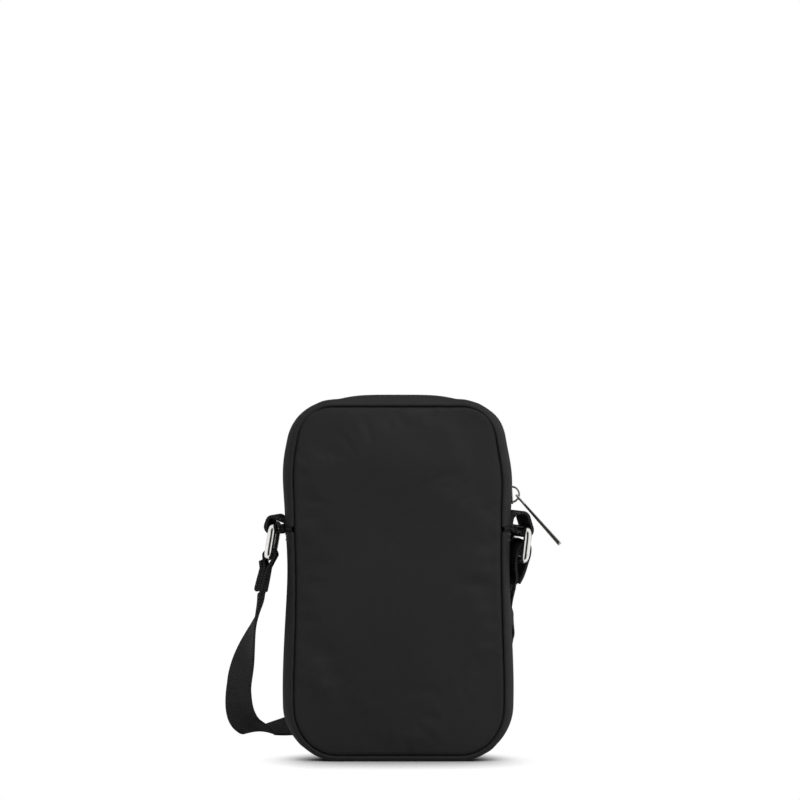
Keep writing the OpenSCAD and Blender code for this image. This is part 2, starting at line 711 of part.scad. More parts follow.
drop_places = concat(
    [drop_start],
    stretch(drop_start + lead * drop_way, bulge_place, drop_h * drop_leave_shares[0] * drop_way,
        drop_h * drop_arrive_shares[0] * bulge_way, drop_steps, 0),
    stretch(bulge_place, foot_place, drop_h * drop_leave_shares[1] * bulge_way,
        drop_h * drop_arrive_shares[1] * foot_way, drop_steps, 1),
    stretch(foot_place, drop_join - [lead, 0, 0], drop_h * drop_leave_shares[2] * foot_way,
        [drop_h * drop_arrive_shares[2], 0, 0], drop_steps, 1),
    [drop_join]
);
bulge_side = [0.87, -0.55, 0];
foot_side = [-0.03, 0.98, 0.33];
drop_sides = concat(
    [[0, -1, 0]],
    turning([0, -1, 0], bulge_side, drop_steps, 0),
    turning(bulge_side, foot_side, drop_steps, 1),
    turning(foot_side, -upright, drop_steps, 1),
    [-upright]
);
module strap_drop_left() { color("#222224") ribbon(drop_places, drop_sides); }

// The right stretch rises from the inside of the coil, through the adjuster, to its ring, and
// its end comes back from the ring and is sewn round the adjuster's middle bar.
rise_end = fold_end(right_low_bar, right_fold_lean, right_fold_l);
rise_h = rise_end[2];
adjuster_shares = [-0.07, 0.21, 0.58];
adjuster_place = [half_w, half_d, 0] + rise_h * adjuster_shares;
adjuster_way = unit([0.22, -0.62, 0.75]);
// Across a strap that runs along t and lies flat against the pouch's side.
function flat_side(t) = unit([0, t[2], -t[1]]);
adjuster_side = flat_side(adjuster_way);
adjuster_face = cross(adjuster_way, adjuster_side);
wire_r = adjuster_wire_d / 2;
ply = strap_t + 3 * layer_gap;
rail_reach = adjuster_l / 2 - wire_r;
wrap_r = wire_r + 2 * layer_gap + strap_t / 2;
under_rail = wrap_r + layer_gap;
// A place beside the adjuster's middle: along the strap, and out of its face.
function adjuster_at(along, out) = adjuster_place + along * adjuster_way + out * adjuster_face;
rise_steps = 8;
rise_join = coil_finish + [join_gap, 0, 0];
rise_way = [1, 0.1, 0.15];
rise_leave_share = 0.9;
rise_arrive_share = 0.6;
shoulder_out = 1.4;
shoulder_back = 2;
shoulder_rise_share = 0.82;
shoulder_place = [half_w + shoulder_out, half_d + shoulder_back, rise_h * shoulder_rise_share];
shoulder_way = unit([0.16, -0.8, 0.5]);
pair_way = -fold_way(right_fold_lean);
pair_shares = [0.2, 0.26];
pair_places = concat(
    stretch(adjuster_at(adjuster_l, -under_rail - ply), shoulder_place,
        rise_h * pair_shares[0] * adjuster_way, rise_h * pair_shares[0] * shoulder_way, rise_steps / 2, 0),
    stretch(shoulder_place, rise_end - 2 * lead * pair_way, rise_h * pair_shares[1] * shoulder_way,
        rise_h * pair_shares[1] * pair_way, rise_steps, 1),
    [rise_end - lead * pair_way, rise_end]
);
pair_last = len(pair_places) - 1;
pair_sides = [for (i = [0:pair_last]) flat_side(way(pair_places, i))];
// One of two plies that lie on each other: a share of the way between them, out of their face.
ply_close_share = 0.48;
function ply_places(share) = [
    for (i = [0:pair_last]) let (t = way(pair_places, i), face = cross(t, across(t, pair_sides[i])))
        pair_places[i] + face * share * ply * (1 - ply_close_share * ease(i / pair_last))
];
// Where the strap passes over the middle bar, in shares of the wrap round that bar.
hump_along_share = 1.35;
hump_out_share = 1.5;
hump_along = wrap_r * hump_along_share;
hump_out = wrap_r * hump_out_share;
rise_places = concat(
    [rise_join],
    stretch(rise_join + [lead, 0, 0], adjuster_at(-adjuster_l, -under_rail),
        rise_h * rise_leave_share * rise_way, rise_h * rise_arrive_share * adjuster_way, 2 * rise_steps, 0),
    [adjuster_at(-rail_reach + wire_r / 2, -under_rail), adjuster_at(-hump_along, hump_out),
        adjuster_at(-wire_r, wrap_r + ply), adjuster_at(wire_r, wrap_r + ply),
        adjuster_at(hump_along, hump_out), adjuster_at(rail_reach - wire_r / 2, -under_rail)],
    ply_places(1)
);
rise_sides = concat(
    [-upright],
    turning(-upright, adjuster_side, 2 * rise_steps, 0),
    [for (i = [1:6]) adjuster_side],
    pair_sides
);
module strap_rise_right() { color("#222224") ribbon(rise_places, rise_sides); }

// The returning end: it dips in to the middle bar, goes round it and runs out under the rail.
dip_shares = [2.2, 1.6];
tail_shares = [[0.8, 0.65], [1.7, -1.25]];
tail_out_share = 1.1;
return_places = concat(
    [for (i = [pair_last:-1:0]) ply_places(-1)[i]],
    [adjuster_at(rail_reach, -under_rail - ply * dip_shares[0]),
        adjuster_at(rail_reach / 2, -wrap_r - ply * dip_shares[1])],
    [for (a = [0:30:180]) adjuster_at(-sin(a) * wrap_r, -cos(a) * wrap_r)],
    [for (t = tail_shares) adjuster_at(t[0] * wrap_r, t[1] * wrap_r)],
    [adjuster_at(rail_reach, -under_rail - ply * tail_out_share),
        adjuster_at(adjuster_l, -under_rail - ply)]
);
return_sides = concat(
    [for (i = [pair_last:-1:0]) pair_sides[i]],
    [for (i = [pair_last + 1:len(return_places) - 1]) adjuster_side]
);
module strap_return_right() { color("#222224") ribbon(return_places, return_sides); }

// A wire frame with a bar across its middle.
module strap_adjuster() {
    half_l = rail_reach;
    half_across = adjuster_w / 2 - wire_r;
    color("silver") multmatrix([
        [adjuster_side[0], adjuster_way[0], adjuster_face[0], adjuster_place[0]],
        [adjuster_side[1], adjuster_way[1], adjuster_face[1], adjuster_place[1]],
        [adjuster_side[2], adjuster_way[2], adjuster_face[2], adjuster_place[2]],
        [0, 0, 0, 1]
    ]) {
        for (y = [-half_l, 0, half_l]) translate([-half_across, y, 0]) rotate([0, 90, 0])
            cylinder(d = adjuster_wire_d, h = 2 * half_across, $fn = round_fn);
        for (x = [-half_across, half_across]) {
            translate([x, -half_l, 0]) rotate([-90, 0, 0])
                cylinder(d = adjuster_wire_d, h = 2 * half_l, $fn = round_fn);
            for (y = [-half_l, half_l]) translate([x, y, 0]) sphere(d = adjuster_wire_d, $fn = round_fn);
        }
    }
}

front_panel();
back_panel();
front_foam();
back_foam();
front_lining();
back_lining();
lower_gusset();
gusset_lining();
front_binding();
back_binding();
side_seam_tapes();
zip_strip_front();
zip_strip_back();
zip_tape_front();
zip_tape_back();
zip_coil_front();
zip_coil_back();
zip_end_stops();
zip_slider_body();
zip_slider_bridge();
zip_lock_spring();
zip_puller();
tab_left();
tab_right();
side_stitches();
ring_left();
ring_right();
strap_fold_left();
strap_fold_right();
strap_drop_left();
strap_coil();
strap_rise_right();
strap_return_right();
strap_adjuster();
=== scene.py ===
"""Crossbody phone pouch: its cloth, zip, rings and strap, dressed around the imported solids.

+X is right, +Y is away from the photographed face, +Z is up, and lengths are in metres.
The origin is the middle of the face that the pouch stands on.
"""
import logging
import math
from collections.abc import Callable
from dataclasses import dataclass, field
from enum import Enum

import bmesh
import bpy
import numpy as np
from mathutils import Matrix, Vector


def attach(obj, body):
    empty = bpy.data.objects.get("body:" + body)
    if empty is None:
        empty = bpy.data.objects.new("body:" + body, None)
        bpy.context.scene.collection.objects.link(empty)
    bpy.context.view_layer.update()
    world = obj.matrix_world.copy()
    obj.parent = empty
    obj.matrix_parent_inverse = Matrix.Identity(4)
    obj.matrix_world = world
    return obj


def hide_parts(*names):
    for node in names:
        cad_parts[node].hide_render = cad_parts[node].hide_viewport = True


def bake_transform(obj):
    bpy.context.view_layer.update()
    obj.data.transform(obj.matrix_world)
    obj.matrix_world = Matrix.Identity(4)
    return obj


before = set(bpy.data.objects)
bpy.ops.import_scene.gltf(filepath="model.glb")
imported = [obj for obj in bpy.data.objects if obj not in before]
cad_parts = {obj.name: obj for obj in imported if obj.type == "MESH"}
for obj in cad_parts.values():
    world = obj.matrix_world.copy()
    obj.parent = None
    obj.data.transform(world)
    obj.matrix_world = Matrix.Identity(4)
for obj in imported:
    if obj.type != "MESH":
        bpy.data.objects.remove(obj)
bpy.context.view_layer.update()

log = logging.getLogger("pouch")
Array = np.ndarray
Triple = tuple[float, float, float]
Socket = bpy.types.NodeSocket
Thing = bpy.types.Object
MM = 0.001
FULL_TURN = 2 * math.pi
# Points on each stretch of a route between two of its keys
KEYED = 48
SHARP = math.radians(50)
STRAP_W = 15 * MM
STRAP_T = 1.3 * MM
BACKWARDS = np.array([0.0, 1.0, 0.0])
UPWARDS = np.array([0.0, 0.0, 1.0])


class Half(Enum):
    """The two halves of the gusset, which meet at the side seams."""

    UPPER = "upper"
    LOWER = "lower"


class Opposite(Enum):
    """One of two opposite ways, as a factor for a coordinate."""

    @property
    def label(self) -> str:
        """The way's name, as the pieces use it."""
        return self.name.lower()


class Face(Opposite):
    """Which long side of the pouch a piece lies on, as a factor for its depth."""

    FRONT = -1
    BACK = 1


class Side(Opposite):
    """Which end of the strap a piece belongs to, as a factor for X."""

    LEFT = -1
    RIGHT = 1


class Weave(Enum):
    """How the yarns of a cloth cross."""

    PLAIN = "plain weave"
    CHEVRON = "chevron webbing"
    RIBBED = "ribbed tape"
    TWISTED = "twisted thread"


def beside(*columns: Array | float) -> Array:
    """Returns arrays and numbers side by side, along a new last axis."""
    return np.stack(np.broadcast_arrays(*columns), axis=-1)


def at_depth(plane: Array, y: Array | float = 0.0) -> Array:
    """Returns places from pairs of x and z and their depth."""
    return beside(plane[..., 0], y, plane[..., 1])


def facing(angle: Array) -> Array:
    """Returns the directions at some angles, as cosine and sine."""
    return beside(np.cos(angle), np.sin(angle))


def unit(vectors: Array) -> Array:
    """Returns the vectors along the last axis, each of length one."""
    return vectors / np.linalg.norm(vectors, axis=-1, keepdims=True)


def ease(share: Array) -> Array:
    """Returns 3s^2 - 2s^3 of a share held between 0 and 1."""
    held = np.clip(share, 0, 1)
    return held * held * (3 - 2 * held)


def run_along(curve: Array) -> Array:
    """Returns the distance from the first point to each point of a curve."""
    return np.r_[0, np.cumsum(np.linalg.norm(np.diff(curve, axis=0), axis=1))]


def even(curve: Array, step: float, riders: Array | None = None) -> tuple[Array, Array | None]:
    """Spaces a curve evenly, and carries other values along.

    Args:
        curve: Points, one to a row.
        step: Wanted spacing.
        riders: Values of any width, one row to each point.

    Returns:
        The spaced points, and the riders at those points.
    """
    run = run_along(curve)
    spots = np.linspace(0, run[-1], max(2, int(round(run[-1] / step)) + 1))

    def pick(rows: Array) -> Array:
        """Returns the rows at the even spots, each column by straight lines between its values."""
        return np.stack([np.interp(spots, run, column) for column in rows.T], axis=1)

    return pick(curve), None if riders is None else pick(riders)


def cubic(u: Array, a: Array, b: Array, leave: Array, arrive: Array) -> Array:
    """Works out a cubic between two places with given slopes at its ends.

    Args:
        u: Shares of the way, down a column.
        a: Where it starts.
        b: Where it ends.
        leave: Its slope at a.
        arrive: Its slope at b.

    Returns:
        The places at the shares.
    """
    return (
        (2 * u**3 - 3 * u**2 + 1) * a + (u**3 - 2 * u**2 + u) * leave
        + (3 * u**2 - 2 * u**3) * b + (u**3 - u**2) * arrive
    )


def through(points: Array, step: float) -> Array:
    """Draws a smooth curve through a few points.

    Between two points it is a cubic whose slopes are the central differences over the chords.

    Args:
        points: Points, one to a row.
        step: Spacing of the result.

    Returns:
        Points of the curve.
    """
    chord = run_along(points)
    slope = np.gradient(points, chord, axis=0)
    spots = np.linspace(0, chord[-1], int(4 * chord[-1] / step) + 2)
    k = np.clip(np.searchsorted(chord, spots, side="right") - 1, 0, len(points) - 2)
    span = (chord[k + 1] - chord[k])[:, None]
    u = (spots - chord[k])[:, None] / span
    curve = cubic(u, points[k], points[k + 1], span * slope[k], span * slope[k + 1])
    return even(curve, step)[0]


def stretch(a: Array, b: Array, leave: Array, arrive: Array, count: int = KEYED) -> Array:
    """Returns points of the cubic from a to b whose slopes at its ends are leave and arrive."""
    return cubic(np.linspace(0, 1, count)[:, None], a, b, leave, arrive)


def turning(a: Array, b: Array, count: int = KEYED) -> Array:
    """Returns directions that turn from a to b with an eased start and end."""
    return a + (b - a) * ease(np.linspace(0, 1, count))[:, None]


def joined(parts: list[Array]) -> Array:
    """Returns stretches as one, each without the first row that it shares with the one before."""
    return np.vstack([parts[0], *(part[1:] for part in parts[1:])])


def rolled(vectors: Array, way: Array, angle: Array | float) -> Array:
    """Turns vectors about a direction.

    What lies along the direction stays. The rest becomes its cosine part, plus the sine part of
    the cross product of the direction and itself.

    Args:
        vectors: The vectors, along the last axis.
        way: The direction, of length one.
        angle: The angle, in radians.

    Returns:
        The turned vectors.
    """
    along = (vectors @ way)[..., None] * way
    side = vectors - along
    return along + side * np.cos(angle) + np.cross(way, side) * np.sin(angle)


def belt(centres: Array, radii: Array, step: float) -> Array:
    """Runs a closed belt round circles in a plane.

    In each direction the belt touches the circle that reaches furthest that way.

    Args:
        centres: The centres, one to a row.
        radii: The radii.
        step: Spacing of the result.

    Returns:
        Points of the belt, anticlockwise, with the first not repeated.
    """
    way = facing(np.linspace(0, FULL_TURN, 1441))
    furthest = np.argmax(way @ centres.T + radii, axis=1)
    ring = centres[furthest] + radii[furthest, None] * way
    return even(ring, step)[0][:-1]


def rounded_box(width: float, length: float, r: float, count: int = 8) -> Array:
    """Draws a rectangle about the origin with round corners.

    Args:
        width: Its size along x.
        length: Its size along y.
        r: Radius of its corners.
        count: Points on each corner.

    Returns:
        Points of the outline, anticlockwise, with the first not repeated.
    """
    x, y = width / 2 - r, length / 2 - r
    corners = np.array([(x, y), (-x, y), (-x, -y), (x, -y)])
    angle = np.linspace(0, math.pi / 2, count) + np.arange(4)[:, None] * math.pi / 2
    return (corners[:, None] + r * facing(angle)).reshape(-1, 2)


def closed(ring: Array) -> Array:
    """Returns a ring with its first row repeated at its end."""
    return np.concatenate([ring, ring[:1]])


def unrolled(along: Array, around: Array) -> Array:
    """Returns the unrolled cloth's places on a grid, from the runs along it and round it."""
    return np.stack(np.meshgrid(along, around, indexing="ij"), axis=-1)


def grid_faces(rows: int, cols: int, ring: bool = False) -> tuple[Array, Array, Array]:
    """Numbers the faces of a grid whose columns close up on themselves.

    Args:
        rows: Number of its rows.
        cols: Number of its columns.
        ring: Whether the last row joins the first as well.

    Returns:
        The four corners of each face, and its row and its column.
    """
    i, j = np.meshgrid(np.arange(rows if ring else rows - 1), np.arange(cols), indexing="ij")
    up, on = (i + 1) % rows, (j + 1) % cols
    return np.stack([i * cols + j, up * cols + j, up * cols + on, i * cols + on], axis=-1), i, j


@dataclass(frozen=True)
class Patch:
    """A closed surface on a grid: rows run along it and columns run round its section.

    flat holds each corner's place on the unrolled cloth, with one more column than points, and
    one more row where ring joins the last row to the first. Other patches have a face at each
    end, unless slit tells that the first and last rows close up on themselves.
    """

    points: Array
    flat: Array
    ring: bool = False
    slit: bool = False

    def corners(self) -> tuple[Array, Array]:
        """Numbers the corners of the faces.

        Returns:
            The four corners of each face, and their places on the unrolled cloth.
        """
        quads, i, j = grid_faces(*self.points.shape[:2], self.ring)
        flat = np.stack([self.flat[i, j], self.flat[i + 1, j], self.flat[i + 1, j + 1],
                         self.flat[i, j + 1]], axis=-2)
        return quads.reshape(-1, 4), flat.reshape(-1, 4, 2)

    def outward(self) -> "Patch":
        """Turns the faces out, by the sign of the volume that they close in.

        Returns:
            The patch, turned round where it was inside out.
        """
        quads, _ = self.corners()
        spots = self.points.reshape(-1, 3)
        a, b, c, d = (spots[quads[:, k]] for k in range(4))
        volume = np.sum(a * np.cross(b, c)) + np.sum(a * np.cross(c, d))
        if not self.ring and not self.slit:
            for row, sign in ((self.points[0], 1), (self.points[-1], -1)):
                fan = np.cross(row[1:-1] - row[0], row[2:] - row[0])
                volume += sign * np.sum(row[0] * fan)
        if volume > 0:
            return self
        return Patch(self.points[:, ::-1], self.flat[:, ::-1], self.ring, self.slit)

    def moved(self, shift: Callable[[Array], Array]) -> "Patch":
        """Returns the patch with each point passed through a function."""
        return Patch(shift(self.points), self.flat, self.ring, self.slit)


def placed(name: str, data: bpy.types.ID) -> Thing:
    """Makes an object and links it to the scene.

    Args:
        name: Its name.
        data: Its mesh, lamp or camera.

    Returns:
        The object, at the origin.
    """
    thing = bpy.data.objects.new(name, data)
    bpy.context.scene.collection.objects.link(thing)
    return thing


def weld(mesh: bpy.types.Mesh) -> None:
    """Joins corners that share a place.

    Args:
        mesh: The mesh, changed in place.
    """
    work = bmesh.new()
    work.from_mesh(mesh)
    bmesh.ops.remove_doubles(work, verts=work.verts, dist=1e-7)
    work.to_mesh(mesh)
    work.free()


def piece(name: str, patches: list[Patch]) -> Thing:
    """Makes one object of closed patches, with a UV map in metres of cloth.

    Args:
        name: Name of the piece.
        patches: Its closed surfaces.

    Returns:
        The new object, smooth but for its sharp edges.
    """
    spots, faces, flats, base = [], [], [], 0
    for patch in (p.outward() for p in patches):
        rows, cols = patch.points.shape[:2]
        quads, flat = patch.corners()
        faces += (quads + base).tolist()
        flats.append(flat.reshape(-1, 2))
        if not patch.ring and not patch.slit:
            first, last = np.arange(cols), np.arange(cols)[::-1] + (rows - 1) * cols
            faces += [(first + base).tolist(), (last + base).tolist()]
            flats += [patch.flat[0, :-1], patch.flat[-1, :-1][::-1]]
        spots.append(patch.points.reshape(-1, 3))
        base += rows * cols
    mesh = bpy.data.meshes.new(name)
    mesh.from_pydata(np.concatenate(spots).tolist(), [], faces)
    layer = mesh.uv_layers.new(name="cloth")
    layer.data.foreach_set("uv", np.concatenate(flats).astype(np.float32).ravel())
    if any(patch.slit for patch in patches):
        weld(mesh)
    mesh.shade_smooth()
    mesh.set_sharp_from_angle(angle=SHARP)
    return placed(name, mesh)


@dataclass(frozen=True)
class Section:
    """A cut through a strip or wire: places across it and out of it, and the run round it."""

    across: Array
    out: Array
    flat: Array

    @classmethod
    def strap(cls, width: float, thick: float, count: int = 16, bend: int = 5) -> "Section":
        """Cuts a strap: two flat faces joined by half-round edges.

        Args:
            width: Width over the edges.
            thick: Thickness.
            count: Points on each face.
            bend: Points on each edge.

        Returns:
            The section.
        """
        r = thick / 2
        line = np.linspace(-1, 1, count) * (width / 2 - r)
        arc = np.linspace(0, math.pi, bend + 2)[1:-1]
        across = np.r_[line, width / 2 - r + r * np.sin(arc), line[::-1], -width / 2 + r - r * np.sin(arc)]
        out = np.r_[np.full(count, r), r * np.cos(arc), np.full(count, -r), -r * np.cos(arc)]
        return cls(across, out, np.r_[across, across[0]])

    @classmethod
    def wire(cls, diameter: float, count: int) -> "Section":
        """Cuts a wire: a circle of some points."""
        angle, r = np.linspace(0, FULL_TURN, count + 1), diameter / 2
        return cls(r * np.cos(angle[:-1]), r * np.sin(angle[:-1]), r * angle)

    @classmethod
    def bar(cls, width: float, thick: float, edge: float) -> "Section":
        """Cuts a bar: a rectangle with corners of some radius."""
        outline = rounded_box(width, thick, edge, 4)
        return cls(*outline.T, run_along(closed(outline)))


def swept(path: Array, side: Array, section: Section, ring: bool = False,
          wide: Array | float = 1.0, thick: Array | float = 1.0) -> Patch:
    """Carries a section along a path.

    A point is the path's place, plus its distance across times the side direction, plus its
    distance out times the cross product of the way ahead and the side.

    Args:
        path: Places, one to a row.
        side: The way that the section's width points, one to a row or one for all.
        section: The cut.
        ring: Whether the path is closed.
        wide: Factor on the width at each place.
        thick: Factor on the thickness at each place.

    Returns:
        The closed surface.
    """
    if ring:
        ahead = unit(np.roll(path, -1, axis=0) - np.roll(path, 1, axis=0))
        run = run_along(closed(path))
    else:
        ahead = unit(np.gradient(path, axis=0))
        run = run_along(path)
    side = np.broadcast_to(side, path.shape)
    side = unit(side - ahead * np.sum(side * ahead, axis=1, keepdims=True))
    up = np.cross(ahead, side)
    wide = np.broadcast_to(wide, len(path))[:, None, None]
    thick = np.broadcast_to(thick, len(path))[:, None, None]
    points = (path[:, None] + section.across[:, None] * wide * side[:, None]
              + section.out[:, None] * thick * up[:, None])
    return Patch(points, unrolled(run, section.flat), ring)


@dataclass(frozen=True)
class Axes:
    """A place with three directions of its own."""

    origin: Array
    x: Array
    y: Array
    z: Array

    def put(self, points: Array) -> Array:
        """Returns local points as places in the frame."""
        return self.origin + points @ np.stack([self.x, self.y, self.z])


def plate(outline: Array, low: float, high: float, edge: float, axes: Axes) -> Patch:
    """Makes a plate with rounded edges.

    Rows shrink the outline towards its middle: a few small ones close each face, and the ones
    at the rim follow a quarter circle of radius edge.

    Args:
        outline: Closed outline in the plate's own x and y, one point to a row.
        low: Height of its lower face.
        high: Height of its upper face.
        edge: Radius of its edges.
        axes: Where it stands.

    Returns:
        The closed surface.
    """
    middle = outline.mean(axis=0)
    reach = np.linalg.norm(outline - middle, axis=1)
    arc = np.linspace(0, math.pi / 2, 4)
    inset = np.r_[edge * (1 - np.sin(arc)), edge * (1 - np.cos(arc))]
    height = np.r_[low + edge * (1 - np.cos(arc)), high - edge * (1 - np.sin(arc))]
    face = np.repeat([[0.1], [0.6]], len(outline), axis=1)
    share = np.concatenate([face, 1 - inset[:, None] / reach, face[::-1]])
    height = np.r_[low, low, height, high, high]
    plane = middle + (outline - middle) * share[..., None]
    points = beside(plane[..., 0], plane[..., 1], height[:, None])
    return Patch(axes.put(points), unrolled(np.arange(len(points)) * edge, run_along(closed(outline))))


class Wiring:
    """Adds shader nodes to one tree and joins them."""

    def __init__(self, tree: bpy.types.NodeTree) -> None:
        """Keeps the tree that the nodes go into."""
        self.tree = tree

    def feed(self, node: bpy.types.Node, feeds: dict) -> None:
        """Fills the inputs of a node.

        Args:
            node: The node.
            feeds: For each input, by name or number, a value or the socket that feeds it.
        """
        for key, value in feeds.items():
            if isinstance(value, Socket):
                self.tree.links.new(value, node.inputs[key])
            else:
                node.inputs[key].default_value = value

    def add(self, kind: str, feeds: dict | None = None, **settings) -> bpy.types.Node:
        """Adds a node.

        Args:
            kind: Its type, without the leading "ShaderNode".
            feeds: For each input, by name or number, a value or the socket that feeds it.
            settings: Properties of the node.

        Returns:
            The node.
        """
        node = self.tree.nodes.new("ShaderNode" + kind)
        for key, value in settings.items():
            setattr(node, key, value)
        self.feed(node, feeds or {})
        return node

    def math(self, operation: str, *values: float | Socket) -> Socket:
        """Returns the result of a Math node on values or sockets."""
        return self.add("Math", dict(enumerate(values)), operation=operation).outputs[0]

    def wave(self, value: Socket, period: float | Socket) -> Socket:
        """Returns (1 + sin(2 pi value / period)) / 2."""
        turn = self.math("MULTIPLY", self.math("DIVIDE", value, period), FULL_TURN)
        return self.math("MULTIPLY_ADD", self.math("SINE", turn), 0.5, 0.5)

    def noise(self, place: Socket, scale: float | Socket, detail: float) -> Socket:
        """Returns the value of a Noise Texture at a place."""
        return self.add("TexNoise", {"Vector": place, "Scale": scale, "Detail": detail}).outputs[0]

    def blend(self, share: Socket, a: tuple | Socket, b: tuple | Socket) -> Socket:
        """Returns the colour that lies a share of the way from a to b."""
        return self.add("Mix", {0: share, 6: a, 7: b}, data_type="RGBA").outputs[2]

    def fade(self, value: Socket, low: float, high: float) -> Socket:
        """Returns the eased share of the way from low to high that a value has gone."""
        return self.add("MapRange", {"Value": value, "From Min": low, "From Max": high},
                        interpolation_type="SMOOTHSTEP").outputs[0]


Fill = Callable[[Wiring, dict], list]


def group(name: str, inputs: dict[str, float | None], outputs: list[str], fill: Fill) -> bpy.types.NodeTree:
    """Makes a shader node group once.

    Args:
        name: Name of the group.
        inputs: For each input its usual value, or None for a vector.
        outputs: Names of its outputs, all numbers.
        fill: Function that takes the Wiring and the input sockets and returns the outputs.

    Returns:
        The group, made now or earlier.
    """
    if name in bpy.data.node_groups:
        return bpy.data.node_groups[name]
    tree = bpy.data.node_groups.new(name, "ShaderNodeTree")
    for key, usual in inputs.items():
        kind = "NodeSocketVector" if usual is None else "NodeSocketFloat"
        socket = tree.interface.new_socket(key, in_out="INPUT", socket_type=kind)
        if usual is not None:
            socket.default_value = usual
    for key in outputs:
        tree.interface.new_socket(key, in_out="OUTPUT", socket_type="NodeSocketFloat")
    source = tree.nodes.new("NodeGroupInput")
    sink = tree.nodes.new("NodeGroupOutput")
    made = fill(Wiring(tree), {key: source.outputs[key] for key in inputs})
    for key, value in zip(outputs, made):
        tree.links.new(value, sink.inputs[key])
    return tree


class Yarns:
    """Draws weaves on the unrolled cloth, each as the relief of its yarns and a painted shade.

    x runs across the cloth and y along it, in metres, and the pitch leads from yarn to yarn.
    """

    def __init__(self, w: Wiring, given: dict) -> None:
        """Keeps the group's wiring, its Vector and its Pitch."""
        self.w, self.cloth, self.pitch = w, given["Vector"], given["Pitch"]
        self.x, self.y, _ = w.add("SeparateXYZ", {0: self.cloth}).outputs

    def wave(self, value: Socket, factor: float = 1.0) -> Socket:
        """Returns a wave whose length is the pitch times a factor."""
        return self.w.wave(value, self.w.math("MULTIPLY", self.pitch, factor))

    def plain(self) -> list:
        """Draws tops where two crossing waves agree, with the yarns slightly uneven.

        Returns:
            The relief and the painted shade, which are the same.
        """
        w = self.w
        slip = w.math("MULTIPLY", w.noise(self.cloth, 260.0, 1.0), self.pitch)
        warp, weft = (self.wave(w.math("ADD", place, slip)) for place in (self.x, self.y))
        neither = w.math("MULTIPLY", w.math("SUBTRACT", 1.0, warp), w.math("SUBTRACT", 1.0, weft))
        return [w.math("MULTIPLY_ADD", warp, weft, neither)] * 2

    def chevron(self) -> list:
        """Draws slanting ribs that turn back at lines along the strap, cut across by fine yarns.

        Returns:
            The relief, and the painted shade, which leaves out the relief's fine noise.
        """
        w = self.w
        back = w.math("PINGPONG", w.math("ADD", self.y, 1.0), w.math("MULTIPLY", self.pitch, 3.4))
        rib = w.math("POWER", self.wave(w.math("MULTIPLY_ADD", back, 0.9, self.x)), 0.7)
        shade = w.math("MULTIPLY", rib, w.math("MULTIPLY_ADD", self.wave(self.y, 0.45), 0.45, 0.55))
        return [w.math("MULTIPLY_ADD", w.noise(self.cloth, 900.0, 2.0), 0.2, shade), shade]

    def ribbed(self) -> list:
        """Returns ribs across the tape, cut by fine yarns along it."""
        yarn = self.w.math("MULTIPLY_ADD", self.wave(self.y, 0.6), 0.6, 0.4)
        return [self.w.math("MULTIPLY", self.wave(self.x), yarn)] * 2

    def twisted(self) -> list:
        """Returns plies that wind round the thread."""
        return [self.wave(self.w.math("MULTIPLY_ADD", self.y, 1.6, self.x))] * 2


def weave_group(weave: Weave) -> bpy.types.NodeTree:
    """Makes the group that draws one weave.

    Args:
        weave: Which weave.

    Returns:
        The group. Its Height is the yarns' relief, and its Shade a painted shade: dark gaps, light tops.
    """
    draw = {Weave.PLAIN: Yarns.plain, Weave.CHEVRON: Yarns.chevron, Weave.RIBBED: Yarns.ribbed,
            Weave.TWISTED: Yarns.twisted}[weave]
    return group(weave.value, {"Vector": None, "Pitch": 0.5 * MM}, ["Height", "Shade"],
                 lambda w, given: draw(Yarns(w, given)))


def mottle_group() -> bpy.types.NodeTree:
    """Returns the group of a wide soft cloud and a fine grain, both from 0 to 1."""
    return group("cloud and grain", {"Vector": None, "Cloud": 20.0, "Grain": 900.0}, ["Cloud", "Grain"],
                 lambda w, given: [w.noise(given["Vector"], given["Cloud"], 3.0),
                                   w.noise(given["Vector"], given["Grain"], 4.0)])


def hairlines(w: Wiring, given: dict) -> list:
    """Draws thin bands where a stretched, bent noise passes its middle value.

    Args:
        w: The group's wiring.
        given: Its Vector and its Scale.

    Returns:
        How much of a scuff there is, from 0 to 1.
    """
    place = w.add("Mapping", {"Vector": given["Vector"], "Scale": (1.0, 0.12, 1.0)})
    noise = w.add("TexNoise", {"Vector": place.outputs[0], "Scale": given["Scale"], "Detail": 5.0,
                               "Distortion": 0.6})
    off = w.math("ABSOLUTE", w.math("SUBTRACT", noise.outputs[0], 0.5))
    return [w.math("MAXIMUM", w.math("SUBTRACT", 1.0, w.math("MULTIPLY", off, 26.0)), 0.0)]


def scuff_group() -> bpy.types.NodeTree:
    """Returns the group that draws hairline scuffs."""
    return group("hairline scuffs", {"Vector": None, "Scale": 500.0}, ["Scuff"], hairlines)


@dataclass(frozen=True)
class Finish:
    """A material and the name of its slot."""

    name: str
    slot: str

    def build(self) -> bpy.types.Material:
        """Makes the material once.

        Returns:
            The material, made now or earlier.
        """
        if self.name in bpy.data.materials:
            return bpy.data.materials[self.name]
        material = bpy.data.materials.new(self.name)
        material.use_nodes = True
        w = Wiring(material.node_tree)
        w.feed(w.tree.nodes["Principled BSDF"], self.look(w))
        return material

    def look(self, w: Wiring) -> dict:
        """Returns what feeds each input of the shader; each kind of finish has its own."""
        raise NotImplementedError


